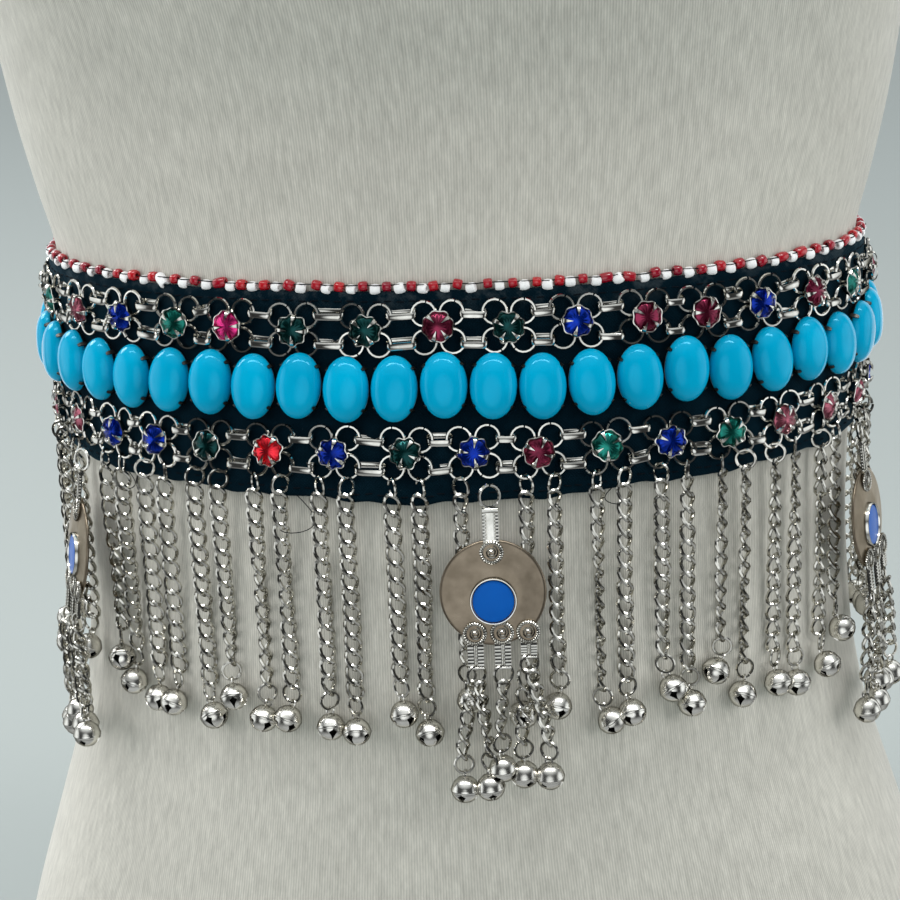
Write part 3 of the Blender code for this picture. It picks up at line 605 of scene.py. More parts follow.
def carried(path, away, profile, closed=False):
    """A profile carried along a path. Its first axis is `away`, squared to the path, and its second is the
    path's direction crossed with that. The ends of an open path are capped."""
    direction = unit(np.roll(path, -1, 0) - np.roll(path, 1, 0) if closed else np.gradient(path, axis=0))
    away = unit(away - (away * direction).sum(-1, keepdims=True) * direction)
    side = np.cross(direction, away)
    grid = path[:, None] + away[:, None] * profile[..., :1] + side[:, None] * profile[..., 1:]
    if closed:
        return solid(grid.reshape(-1, 3), [faces_of_grid(*grid.shape[:2], True, True)])
    return capped(grid)


def joined(*shapes):
    """Several shapes as one."""
    points, faces, count = [], [], 0
    for more_points, more_faces in shapes:
        points.append(more_points)
        faces += [face + count for face in more_faces]
        count += len(more_points)
    return np.concatenate(points), faces


def repeated(shape, places, axes):
    """The shape again at each place, turned so that its X, Y and Z are the columns of the axes there."""
    points, faces = shape
    spread = np.einsum("nij,vj->nvi", axes, points) + places[:, None]
    shift = len(points) * np.arange(len(places))[:, None, None]
    return spread.reshape(-1, 3), [(face[None] + shift).reshape(-1, face.shape[1]) for face in faces]


def turned_by(axes, about, angle):
    """The axes turned about one of their own (0, 1 or 2), each by its own angle."""
    first, second = (about + 1) % 3, (about + 2) % 3
    swing = np.broadcast_to(angle, axes.shape[:1])[:, None]
    made = axes.copy()
    made[:, :, first] = axes[:, :, first] * np.cos(swing) + axes[:, :, second] * np.sin(swing)
    made[:, :, second] = axes[:, :, second] * np.cos(swing) - axes[:, :, first] * np.sin(swing)
    return made


def shaken(axes, about, spread, amount):
    """The axes turned about one of their own by chance, with this standard deviation in radians."""
    return turned_by(axes, about, spread.normal(0.0, amount, len(axes)))


def stitch_shape():
    """One stitch: a round thread that rises from the cloth, runs along it and dives again."""
    run = np.linspace(-1.0, 1.0, 6)
    path = stacked(run * STITCH_LENGTH / 2.0, 0.0, STITCH_RISE - STITCH_DIVE * run ** 4)
    return carried(path, np.array([0.0, 1.0, 0.0]), round_profile(STITCH_THREAD, 5))


def make_sewing():
    """Both running rows of the band, with each stitch a little askew, and the loose thread ends."""
    spread = np.random.default_rng(11)
    reach = HALF_LENGTH - STITCH_START
    count = int(2.0 * reach / STITCH_PITCH)
    arc = np.linspace(-reach, reach, count) + spread.uniform(-STITCH_SLIP, STITCH_SLIP, count)
    threads = []
    for row in (BAND_TOP - STITCH_INSET, lower_edge(arc) + STITCH_INSET):
        height = row + spread.uniform(-STITCH_STRAY, STITCH_STRAY, count)
        places, axes = belt_frames(arc, height, pucker(arc, height))
        axes = turned_by(axes, 2, spread.uniform(-STITCH_SKEW, STITCH_SKEW, count))
        threads.append(repeated(stitch_shape(), places, axes))
    t = np.linspace(0.0, 1.0, 15)
    for at, length, curl, turn in LOOSE_ENDS:
        along = at + curl * np.sin(pi * t * LOOSE_BEND + turn * t)
        height = lower_edge(at) + LOOSE_START - length * LOOSE_FALL * np.sin(pi * t * LOOSE_ROUND)
        path = belt_point(along, height, 0.5 + 0.5 * t)
        threads.append(carried(path, UPRIGHT, round_profile(LOOSE_THREAD, 5)))
    return joined(*threads)


def make_tab_sewing():
    """A rectangle of stitches a little inside the tab's edge: the rows below and above, then the sides."""
    half, low, high = TAB_WIDTH / 2.0 - TAB_INSET, TAB_BOTTOM + TAB_INSET, TAB_TOP - TAB_INSET
    across, upward = np.linspace(-half, half, TAB_ACROSS), np.linspace(low, high, TAB_UP + 2)[1:-1]
    arc = np.concatenate([across, across, np.repeat([-half, half], TAB_UP)])
    height = np.concatenate([np.repeat([low, high], TAB_ACROSS), upward, upward])
    quarter = np.repeat([0.0, pi / 2.0], [2 * TAB_ACROSS, 2 * TAB_UP])
    places, axes = belt_frames(HALF_LENGTH + arc, height, SEAM + TAB_WALL - 0.05)
    return repeated(stitch_shape(), places, turned_by(axes, 2, quarter))


thread_finish = new_finish("dark_thread", Base_Color=(0.003, 0.005, 0.008), Roughness=0.8,
                           Specular_IOR_Level=0.1)
twist = noise(thread_finish, own_place(thread_finish), 2600.0)
feed(thread_finish, Normal=bumped(thread_finish, 0.4, 0.0001, twist))
pale_thread = thread_finish.copy()
pale_thread.name = "slate_thread"
pale_shader = pale_thread.node_tree.nodes["Principled BSDF"]
pale_shader.inputs["Base Color"].default_value = (0.03, 0.045, 0.065, 1.0)
sewing = new_object("band_stitching", make_sewing(), thread_finish)
tab_sewing = new_object("tab_stitching", make_tab_sewing(), pale_thread)
for thread in (sewing, tab_sewing):
    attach(thread, BODY)

# ---------------------------------------------------------------- bead edging
# Glass seed beads of about 3 mm sewn along the top fold with black thread: a clear red one standing on the
# edge, then an opaque white one lower down, and so on. They are not all alike or evenly spaced.
BEAD_PITCH = 3.28
BEAD_RADIUS, BEAD_HOLE = 1.45, 0.42
RED_BEAD, LONG_BEAD = (2.5, 3.0), (3.5, 3.4)          # length, squareness
WHITE_BEAD, TUBE_BEAD = (2.625, 2.2), (4.0, 3.0)
EDGE_START = 2.0                  # from each of the band's ends to the first bead
BEAD_SPACING, BEAD_SIZES = (0.86, 1.12), (0.93, 1.08)      # from least to most
BEAD_GAP, GAP_SHARE = 0.28, 0.14  # how much more a wide gap is, and how many are so
BEAD_STRAY, BEAD_SHIFT = 0.25, 0.15       # at most, up and down, and in and out
BEAD_SKEW, WHITE_TURN, TUBE_TURN = 0.16, (-0.4, 0.3), -0.6     # in radians
RED_HEIGHT, WHITE_HEIGHT = 1.55, 0.85     # bead centres above the fold
RED_OUT, WHITE_OUT = -1.05, -0.75         # and off the cloth's face
EDGE_THREAD = 0.16
THREAD_OVER, THREAD_OUT = 1.05, 0.4       # above a white bead's centre, and off the cloth's face there
LONG_SHARE = 0.13                 # how many of the red ones are longer
ODD_BEAD_ARC = -80.0              # where one white bead is a long tube, and stands aslant


def bead_shape(length, squareness):
    """A ring whose profile is a superellipse: hole, two domed ends and a barrel side. Its axis is X."""
    angle, power, turn = full_turn(9), 2.0 / squareness, full_turn(12)
    profile = stacked(squared(np.cos(angle), power) * (BEAD_RADIUS - BEAD_HOLE) / 2.0,
                      squared(np.sin(angle), power) * length / 2.0)
    spoke = stacked(0.0, np.cos(turn), np.sin(turn))
    return carried(spoke * (BEAD_RADIUS + BEAD_HOLE) / 2.0, spoke, profile, closed=True)


def make_edging():
    """Red beads, white beads and their thread, at places that differ a little by chance. The thread runs
    through each red bead and over each white one, in an S between them."""
    spread = np.random.default_rng(5)
    length = 2.0 * HALF_LENGTH - BAND_END_GAP - 2.0 * EDGE_START
    count = 2 * int(length / BEAD_PITCH / 2.0)
    gaps = spread.uniform(*BEAD_SPACING, count) + BEAD_GAP * (spread.random(count) < GAP_SHARE)
    arc = np.cumsum(gaps)
    arc = ((arc - arc[0]) / (arc[-1] - arc[0]) - 0.5) * length
    red = np.arange(count) % 2 == 0
    height = BAND_TOP + np.where(red, RED_HEIGHT, WHITE_HEIGHT)
    height = height + spread.uniform(-BEAD_STRAY, BEAD_STRAY, count)
    out = np.where(red, RED_OUT, WHITE_OUT) + spread.uniform(-BEAD_SHIFT, BEAD_SHIFT, count)
    places, axes = belt_frames(arc, height, out)
    axes = shaken(axes, 2, spread, BEAD_SKEW)
    axes = turned_by(axes, 1, np.where(red, 0.0, spread.uniform(*WHITE_TURN, count)))
    axes = axes * spread.uniform(*BEAD_SIZES, count)[:, None, None]
    long = red & (spread.random(count) < LONG_SHARE)
    odd = ~red & (np.abs(arc - ODD_BEAD_ARC) == np.abs(arc - ODD_BEAD_ARC)[~red].min())
    short, white = red & ~long, ~red & ~odd
    reds = joined(repeated(bead_shape(*RED_BEAD), places[short], axes[short]),
                  repeated(bead_shape(*LONG_BEAD), places[long], axes[long]))
    whites = joined(repeated(bead_shape(*WHITE_BEAD), places[white], axes[white]),
                    repeated(bead_shape(*TUBE_BEAD), places[odd], turned_by(axes[odd], 2, TUBE_TURN)))
    steps = np.linspace(0, count - 1, (count - 1) * 6 + 1)
    share = steps % 1.0
    eased = np.floor(steps) + share * share * (3.0 - 2.0 * share)
    knots = np.arange(count)
    thread_height = np.interp(eased, knots, np.where(red, height, height + THREAD_OVER))
    thread_out = np.interp(eased, knots, np.where(red, out, THREAD_OUT))
    path = belt_point(np.interp(steps, knots, arc), thread_height, thread_out)
    return reds, whites, carried(path, UPRIGHT, round_profile(EDGE_THREAD, 5))


red_glass = new_finish("red_glass", Roughness=0.08, IOR=1.5, Transmission_Weight=0.2, Coat_Weight=1.0)
streak = ranged(red_glass, noise(red_glass, own_place(red_glass), 45.0), 0.35, 0.65)
feed(red_glass, Base_Color=mixed(red_glass, streak, (0.29, 0.0, 0.02), (0.62, 0.008, 0.014)))
white_glass = new_finish("white_glass", Roughness=0.4, Specular_IOR_Level=0.3, Subsurface_Weight=0.5,
                         Subsurface_Radius=(1.0, 1.0, 1.0), Subsurface_Scale=0.0012)
milk = noise(white_glass, own_place(white_glass), 900.0)
feed(white_glass, Base_Color=mixed(white_glass, milk, (0.88, 0.89, 0.90), (0.98, 0.98, 0.96)))
red_shape, white_shape, edge_shape = make_edging()
red_beads = new_object("edge_beads_red", red_shape, red_glass, 60.0)
white_beads = new_object("edge_beads_white", white_shape, white_glass, 60.0)
edge_thread = new_object("edge_thread", edge_shape, thread_finish)
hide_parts("bead_edging")
for strung, finish in ((red_beads, "seed_beads"), (white_beads, "seed_beads"), (edge_thread, "band_cotton")):
    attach(strung, BODY)

# ---------------------------------------------------------------- cabochons
# Oval domed stones of turquoise acrylic, 13 by 18 mm, side by side along the middle. Each sits in a pressed
# metal dish that is sewn down, with four small claws bent over its edge.
CABOCHONS, CABOCHON_PITCH, CABOCHON_ARC = 42, 12.9, 2.8
STONE_HALF_WIDTH, STONE_HALF_HEIGHT = 6.3, 8.85
STONE_PROFILE = [(0.0, 0.9), (0.90, 0.9), (0.985, 1.5), (1.0, 2.1), (0.985, 2.8), (0.945, 3.5), (0.87, 4.25),
                 (0.76, 4.95), (0.61, 5.55), (0.42, 5.95), (0.21, 6.15), (0.0, 6.2)]
DISH_PROFILE = [(0.0, 0.35), (0.78, 0.35), (0.92, 0.7), (0.98, 1.2), (1.0, 1.75), (0.97, 1.8), (0.94, 1.3),
                (0.0, 0.8)]
CLAW_ANGLES = np.radians([38.0, 143.0, 217.0, 322.0])
CLAW_WALL = 0.17                  # half of its thickness
CLAW_PATH = np.array([
    # share of the stone's outline, height, half width
    (1.03, 0.9, 0.6), (1.04, 2.2, 0.56), (1.02, 3.0, 0.5), (0.975, 3.5, 0.34),
])
CABOCHON_SLIP = 0.55              # how far they are sewn off their row, by chance
CABOCHON_TURN, CABOCHON_TIP = 0.03, 0.035
PAINTED_EDGE_SHADE = (0.06, 0.058, 0.05)   # painted shade: the metal's reflection turns near-black where it turns away, as along the shaded edges of its wires


def polar(radius, angle, height):
    """Points round the Z axis, at a radius, an angle and a height."""
    return stacked(radius * np.cos(angle), radius * np.sin(angle), height)


def turned_on_axis(profile, sides):
    """A profile of (radius, height) turned about Z. Its first and last radius are 0, which close it."""
    radius, height = np.array(profile, float).T
    grid = polar(radius[1:-1, None], full_turn(sides), height[1:-1, None])
    return pointed(grid, UPRIGHT * height[0], UPRIGHT * height[-1])


def stretched(shape, *scales):
    """The shape scaled along its own axes."""
    return shape[0] * np.array(scales), shape[1]


def tongue(path, away, wall, width, taper):
    """A flat strip along a path. Wall and width are halves; the taper narrows the side that faces away."""
    corners = np.array([[1.0, -taper], [1.0, taper], [-1.0, 1.0], [-1.0, -1.0]])
    return carried(path, away, corners * stacked(wall, width)[:, None])


def claw_shape(angle):
    """A tongue that comes up from the dish and bends over the stone's edge, narrower at its tip."""
    share, height, width = CLAW_PATH.T
    path = stacked(share * STONE_HALF_WIDTH * cos(angle), share * STONE_HALF_HEIGHT * sin(angle), height)
    away = path * [1.0, 1.0, 0.0] + UPRIGHT * 3.0 * (height[:, None] > 3.0)
    return tongue(path, away, CLAW_WALL, width, 1.0)


def make_cabochons():
    """The stones and the settings. Each pair is sewn on a little turned, tipped, and up or down."""
    spread = np.random.default_rng(3)
    arc = CABOCHON_ARC + CABOCHON_PITCH * (np.arange(CABOCHONS) - CABOCHONS // 2)
    places, axes = belt_frames(arc, spread.normal(0.0, CABOCHON_SLIP, CABOCHONS), 0.0)
    for about, amount in ((2, CABOCHON_TURN), (0, CABOCHON_TIP), (1, CABOCHON_TURN)):
        axes = shaken(axes, about, spread, amount)
    stone = stretched(turned_on_axis(STONE_PROFILE, 32), STONE_HALF_WIDTH, STONE_HALF_HEIGHT, 1.0)
    dish = stretched(turned_on_axis(DISH_PROFILE, 28), STONE_HALF_WIDTH, STONE_HALF_HEIGHT, 1.0)
    setting = joined(dish, *(claw_shape(angle) for angle in CLAW_ANGLES))
    return repeated(stone, places, axes), repeated(setting, places, axes)


def turquoise_finish():
    """Moulded turquoise acrylic: one strong colour, barely clouded, under a clear gloss."""
    acrylic = new_finish("turquoise_acrylic", Roughness=0.1, Specular_IOR_Level=0.5,
                         Specular_Tint=(0.28, 0.8, 1.0))
    place = own_place(acrylic)
    share = ranged(acrylic, noise(acrylic, place, 75.0), 0.35, 0.65)
    ripple = noise(acrylic, place, 160.0, 1.0)
    feed(acrylic, Base_Color=mixed(acrylic, share, (0.0, 0.32, 0.54), (0.0, 0.375, 0.62)),
         Normal=bumped(acrylic, 0.08, 0.0004, ripple))
    return acrylic


def metal_finish(name, dark, light, rough, smooth, grain=420.0, edge=PAINTED_EDGE_SHADE):
    """Plated metal: cloudy between a dark and a light tone, uneven in gloss, with a fine rubbed grain."""
    # The edge tint colours the reflection where the metal turns away; the near-black default paints shade
    # along its outlines.
    metal = new_finish(name, Metallic=1.0, Specular_Tint=edge)
    place = own_place(metal)
    share = ranged(metal, noise(metal, place, 190.0, 3.0, 0.6), 0.32, 0.68)
    gloss = ranged(metal, share, 0.0, 1.0, rough, smooth)
    bump = bumped(metal, 0.1, 0.0002, noise(metal, place, grain, 3.0))
    feed(metal, Base_Color=mixed(metal, share, dark, light), Roughness=gloss, Normal=bump)
    return metal


stone_shape, setting_shape = make_cabochons()
cabochon_stones = new_object("cabochon_stones", stone_shape, turquoise_finish())
dark_nickel = metal_finish("darkened_nickel", (0.05, 0.05, 0.05), (0.15, 0.145, 0.13), 0.5, 0.35)
cabochon_settings = new_object("cabochon_settings", setting_shape, dark_nickel)
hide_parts(*(f"cabochon_{number + 1:02d}" for number in range(CABOCHONS)))
for made, finish in ((cabochon_stones, "cabochon"), (cabochon_settings, "nickel")):
    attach(made, BODY)

# ---------------------------------------------------------------- rosette rows
# Four open jump rings and a crimped claw cup with a foiled glass stone make a rosette. Flat-band links hook
# each one to the next, in two rows that are caught down with a few stitches.
ROSETTES = 29
UPPER_ROW, UPPER_PITCH, UPPER_ARC = 15.3, 18.15, 1.6
LOWER_ROW, LOWER_PITCH, LOWER_ARC = -16.8, 17.5, 10.4
UPPER_SHIFTS = (-6, [-1.5, -1.6, -1.0, -2.6, -2.6, -1.1, 0.0, 0.3, -0.2, -0.1, -1.6, -2.9, -2.7, -3.5, -1.5])
LOWER_SHIFTS = (-7, [-0.9, -2.0, -3.5, -3.8, -3.1, -2.4, -0.4, 0.0, -0.6, 0.3, 0.1, 0.0, -0.7, -0.8])
RING_CENTRE, RING_RADIUS, RING_WIRE = 3.75, 3.2, 0.45
RING_OUT = 0.95
RING_SPLIT, RING_RISE = radians(3.5), 0.05    # half of the gap where it was closed, and rise to a radian
LINK_WIDTH, LINK_WALL, LINK_DEPTH = 1.65, 0.34, 2.6
LINK_SINK = 0.5                   # how much lower a link's front strand lies, as a share of its depth
LINK_END = 0.5                    # a link's ends, off its middle, before they are drawn apart
LINK_SLACK, LINK_OUT = 1.2, 0.25  # longer than the gap it spans, and further out than the rings
ROSETTE_SLIP = 0.2                # how far they are sewn off their row, by chance
ROSETTE_TURN, RING_TIP, CUP_TIP, PRONG_TURN, LINK_TURN, LINK_TIP = 0.03, 0.05, 0.07, 0.2, 0.06, 0.12
SPLIT_TURN, SPLIT_REACH = 0.35, 2.6   # from its top, an upper ring's cut by chance, a lower one's at most
CUP_SIDES = 48
CUP_PROFILE = np.array([
    # radius, height, share of the crimping
    (2.4, 0.5, 0.0), (3.1, 0.55, 0.0), (3.75, 1.6, 0.4), (4.2, 2.6, 1.0), (4.25, 2.85, 1.0),
    (3.98, 2.95, 1.0), (3.62, 2.3, 0.3), (3.3, 1.9, 0.0),
])
CUP_WAVES = [(0.085, 8.0, 0.0), (0.03, 3.0, 1.0)]     # share of the radius, how many round, start in radians
PLAIN_CUPS, PLAIN_CRIMPING = 0.3, 0.55    # how many of the cups are less crimped, and by what share
PRONG_PATH = np.array([
    # reach from the cup's middle, height, half width
    (4.15, 2.4, 0.78), (4.0, 3.15, 0.72), (3.4, 3.62, 0.56), (2.5, 3.95, 0.34), (1.4, 4.02, 0.06),
])
PRONG_WALL = 0.14                 # half of its thickness
CUT_PROFILE = np.array([
    # radius, height, share of the fold
    (3.5, 1.7, 0.0), (3.58, 2.3, 0.0), (3.2, 2.62, 0.5), (1.3, 3.05, 1.0),
])
CUT_FOOT, CUT_TOP = 1.5, 3.2
CUT_FACETS, CUT_FOLD = 16, 0.26   # how many, and how far they fold in and out
STONE_TONES = {
    "rose": (0.36, 0.1, 0.14),
    "magenta": (0.85, 0.04, 0.26),
    "plum": (0.21, 0.02, 0.055),
    "red": (1.0, 0.03, 0.05),
    "blue": (0.001, 0.028, 0.36),
    "green": (0.01, 0.19, 0.15),
    "bottle": (0.002, 0.046, 0.045),
}
UPPER_STONES = "rose blue green magenta bottle bottle plum bottle blue plum plum blue plum green".split()
LOWER_STONES = "rose blue blue bottle red blue bottle blue plum green blue green rose rose".split()


def rosette_arcs(row_arc, pitch, shifts, number):
    """Each rosette's even place on its row, and how far it is sewn off that; the shifts come again round."""
    first, amounts = shifts
    return row_arc + pitch * number + np.array(amounts)[(number - first) % len(amounts)]


def open_ring_shape(radius, wire, stations=20, sides=6, split=RING_SPLIT):
    """A round wire bent in a circle in the XY plane, with its cut ends a little apart at the top."""
    angle = pi / 2.0 + np.linspace(split, 2.0 * pi - split, stations)
    path = polar(radius, angle, RING_RISE * (angle - angle.mean()))
    return carried(path, path * [1.0, 1.0, 0.0], round_profile(wire, sides))


def link_shape():
    """A flat band bent in a loop: two strands, one in front of the other, and round ends, which stay close
    together here. make_rosettes draws them apart along X."""
    bend = LINK_DEPTH / 2.0
    turn = np.linspace(-pi / 2.0, pi / 2.0, 6)
    right = stacked(LINK_END + bend * np.cos(turn), -LINK_SINK * bend * np.sin(turn), bend * np.sin(turn))
    path = np.concatenate([right, -right])
    half, wall = LINK_WIDTH / 2.0, LINK_WALL / 2.0
    band_profile = np.array([(wall, -half * 0.6), (wall * 1.5, 0.0), (wall, half * 0.6), (0.2 * wall, half),
                             (-wall, half * 0.6), (-wall, -half * 0.6), (0.2 * wall, -half)])
    away = path * [1.0, 0.0, 1.0] - np.sign(path) * [LINK_END, 0.0, 0.0]
    return carried(path, away, band_profile, closed=True)


def cup_shape(crimping):
    """A dish whose thin rim is crimped round the stone by two waves of its angle, in full at 1."""
    radius, height, share = CUP_PROFILE.T[..., None]
    angle = full_turn(CUP_SIDES)
    crimp = sum(size * np.sin(angle * waves + start) for size, waves, start in CUP_WAVES)
    return capped(polar(radius * (1.0 + share * crimping * crimp), angle, height))


def prong_shape():
    """A pointed tongue of the cup's rim, folded in over the stone along X."""
    reach, height, width = PRONG_PATH.T
    away = stacked(4.0 - reach * 0.6, 0.0, 4.6 - reach)
    return tongue(stacked(reach, 0.0, height), away, PRONG_WALL, width, 0.75)


def cut_stone_shape():
    """A round cut stone: a plain wall, then sixteen facets that run up to a low point at the middle, folded
    in and out like a fan, and a small flat star in the middle of them."""
    radius, height, share = CUT_PROFILE.T[..., None]
    fold = np.tile([CUT_FOLD, -CUT_FOLD], CUT_FACETS)
    grid = polar(radius, full_turn(2 * CUT_FACETS), height + share * fold)
    return pointed(grid, UPRIGHT * CUT_FOOT, UPRIGHT * CUT_TOP)


def make_rosettes(row, row_arc, pitch, shifts, seed):
    """One row's metal and its stones: rings and cups, some of them less crimped, the claws, and the pairs
    of links, whose ends are drawn apart to the gap between one rosette and the next."""
    spread = np.random.default_rng(seed)
    arc = rosette_arcs(row_arc, pitch, shifts, np.arange(ROSETTES) - ROSETTES // 2)
    places, axes = belt_frames(arc, row + spread.normal(0.0, ROSETTE_SLIP, ROSETTES), 0.0)
    axes = shaken(axes, 2, spread, ROSETTE_TURN)
    metal = []
    ring = open_ring_shape(RING_RADIUS, RING_WIRE)
    for x, y in ((-1, 1), (1, 1), (-1, -1), (1, -1)):
        at = places + axes @ np.array([x * RING_CENTRE, y * RING_CENTRE, RING_OUT])
        lean = shaken(shaken(axes, 0, spread, RING_TIP), 1, spread, RING_TIP)
        if y > 0:
            split = spread.normal(0.0, SPLIT_TURN, ROSETTES)
        else:
            split = spread.uniform(-SPLIT_REACH, SPLIT_REACH, ROSETTES)
        metal.append(repeated(ring, at, turned_by(lean, 2, split)))
    tip = shaken(shaken(axes, 0, spread, CUP_TIP), 1, spread, CUP_TIP)
    tip = turned_by(tip, 2, spread.uniform(0.0, 2.0 * pi, ROSETTES))
    plain = spread.random(ROSETTES) < PLAIN_CUPS
    metal.append(repeated(cup_shape(1.0), places[~plain], tip[~plain]))
    metal.append(repeated(cup_shape(PLAIN_CRIMPING), places[plain], tip[plain]))
    for quarter in range(4):
        swing = quarter * pi / 2.0 + spread.normal(0.0, PRONG_TURN, ROSETTES)
        metal.append(repeated(prong_shape(), places, turned_by(tip, 2, swing)))
    length = np.diff(arc) - 2.0 * (RING_CENTRE + RING_RADIUS) + 2.0 * (RING_WIRE + LINK_WALL) + LINK_SLACK
    for y in (-1, 1):
        at, hook = belt_frames((arc[:-1] + arc[1:]) / 2.0, row + y * RING_CENTRE, RING_OUT + LINK_OUT)
        hook = shaken(shaken(hook, 2, spread, LINK_TURN), 0, spread, LINK_TIP)
        points, faces = repeated(link_shape(), at, hook)
        ends = np.sign(link_shape()[0][:, 0]) * (length[:, None] / 2.0 - LINK_DEPTH / 2.0 - LINK_END)
        metal.append((points + (ends[..., None] * hook[:, None, :, 0]).reshape(-1, 3), faces))
    return joined(*metal), repeated(cut_stone_shape(), places, tip)


def set_tones(made, names, first):
    """Give each stone of a row its colour; the list of names comes again round the belt."""
    per_stone = len(made.data.vertices) // ROSETTES
    order = (np.arange(ROSETTES) - ROSETTES // 2 - first) % len(names)
    tones = np.array([(*STONE_TONES[names[i]], 1.0) for i in order])
    made.data.attributes.new("tone", "FLOAT_COLOR", "POINT").data.foreach_set(
        "color", np.repeat(tones, per_stone, 0).astype(np.float32).ravel())


def foiled_glass():
    """Coloured glass on a mirror foil, each stone in its own tone: bright facets between dark ones."""
    glass = new_finish("foiled_glass", Metallic=0.85, Roughness=0.1, Specular_IOR_Level=0.3, Coat_Weight=0.15)
    tone = add_node(glass, "Attribute", attribute_name="tone")[0]
    share = ranged(glass, noise(glass, own_place(glass), 420.0, 1.0), 0.3, 0.7, 0.55, 1.5)
    feed(glass, Base_Color=mixed(glass, 1.0, tone, share, "MULTIPLY"))
    return glass


nickel = metal_finish("dulled_nickel", (0.61, 0.60, 0.55), (0.92, 0.90, 0.84), 0.15, 0.07)
stone_glass = foiled_glass()
upper_metal, upper_stones = make_rosettes(UPPER_ROW, UPPER_ARC, UPPER_PITCH, UPPER_SHIFTS, 21)
lower_metal, lower_stones = make_rosettes(LOWER_ROW, LOWER_ARC, LOWER_PITCH, LOWER_SHIFTS, 22)
rosettes_upper = new_object("rosettes_upper", upper_metal, nickel)
rosettes_lower = new_object("rosettes_lower", lower_metal, nickel)
stones_upper = new_object("rosette_stones_upper", upper_stones, stone_glass, 0.0)
stones_lower = new_object("rosette_stones_lower", lower_stones, stone_glass, 0.0)
set_tones(stones_upper, UPPER_STONES, UPPER_SHIFTS[0])
set_tones(stones_lower, LOWER_STONES, LOWER_SHIFTS[0])
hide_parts("rosette_chain_upper")
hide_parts("rosette_chain_lower")
for made in (rosettes_upper, rosettes_lower):
    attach(made, BODY)
for made in (stones_upper, stones_lower):
    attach(made, BODY)

# ---------------------------------------------------------------- bell chains
# From each lower ring, but for three that carry medallions, hangs a length of twisted curb chain between two
# open jump rings, with a pressed jingle bell at its foot. The chains fall over the belly and then straight
# down.
CHAIN_DROPS = [
    # ring to bell middle on a rosette's left and right; the row comes again round the belt
    (60.0, 66.0), (66.0, 63.0), (69.0, 67.0), (62.0, 67.0), (60.0, 68.0), (67.0, 69.0), (67.0, 59.0),
    (61.0, 58.0), (60.0, 65.0), (68.0, 68.0), (70.0, 63.0), (68.0, 67.3), (68.5, 69.5), (64.0, 69.3),
]
MEDALLIONS = [
    # body, rosette it hangs from, side of its ring, tilt and turn to its right in degrees
    ("medallion_left", -7, 1, 8.0, -18.0),
    ("medallion_centre", 0, 1, 9.0, 0.0),
    ("medallion_right", 7, -1, 6.0, 5.0),
]
LINK_HALF_WIDTH, LINK_HALF_LENGTH, LINK_WIRE = 1.95, 2.9, 0.54
LINK_TWIST = radians(-50.0)
CURB_PITCH = 4.5
LINK_LEAN = -0.28                 # how far a link lies over to one side, in radians
TOP_RING, FOOT_RING, JUMP_WIRE = 2.6, 2.5, 0.42
TOP_HOOK, DISC_HOOK = 1.1, 0.4    # how far a top ring reaches up over what it hangs from
FOOT_HOOK = 1.3                   # how far the last link and the ring over the bell overlap
BELL_RADIUS, BELL_LOOP = 3.85, 0.55
BELL_RIDGE = [
    # share of the bell's radius, height
    (0.0, 0.4), (0.9, 0.4), (0.99, -0.5), (1.03, -0.3), (1.035, 0.1), (1.0, 0.4),
]
BELL_CROWN = np.radians([14.0, 36.0, 60.0, 84.0])     # the dome's rings, above the ridge
BELL_PETAL = np.radians([
    # degrees under the ridge, and to each side of the petal's middle
    (3.0, 44.8), (13.0, 43.5), (23.0, 26.0), (40.0, 35.0), (60.0, 41.0), (80.0, 36.0),
])
CROWN_RISE, PETAL_FALL, BELL_SHELL = 0.98, 0.96, 0.88     # shares of its radius; the last is its inner face
LOOP_RADIUS, LOOP_WIRE, LOOP_SPLIT = 1.0, 0.32, 0.01
BELL_HOOK = 1.0                   # from the foot of the ring over a bell down to its crown
BELL_LEAN = 0.3                   # how far the cloth holds a bell's foot off, in radians
# A near-black solid in each bell's hollow: painted shade, seen through the slots.
SHADE_FILL_PROFILE = [(0.0, -3.0), (1.6, -2.6), (2.9, -1.0), (3.1, 0.1), (2.9, 0.5), (0.0, 0.5)]
CHAIN_REST, BELL_REST = 2.0, 2.8  # how far a chain's middle, and its foot ring's, is off what it lies on
HANG_REACH = 90.0                 # further down than any chain
CHAIN_TURN, LINK_STEP = (0.75, 0.25), 0.13  # a chain's turn, and its links' from one to the next, in radians
CHAIN_SWAY, CHAIN_DRAW = 0.006, 0.0003    # lean by chance, and to the middle for each millimetre off it
TOP_RING_TURN, FOOT_RING_TURN, CUT_TURN = (0.6, 1.1), 0.7, 6.0    # jump rings, and their cuts
BELL_TIP, BELL_SWAY = 0.2, 0.3    # by chance, in radians


def curb_link_shape():
    """An oval of wire twisted about its length: its top is turned one way and its foot the other."""
    angle = full_turn(14)
    x, z = LINK_HALF_WIDTH * squared(np.cos(angle), 0.8), LINK_HALF_LENGTH * np.sin(angle)
    twist = LINK_TWIST * np.sin(angle)
    path = stacked(x * np.cos(twist) + z * LINK_LEAN, x * np.sin(twist), z - x * LINK_LEAN * 0.5)
    return carried(path, path, round_profile(LINK_WIRE, 6), closed=True)


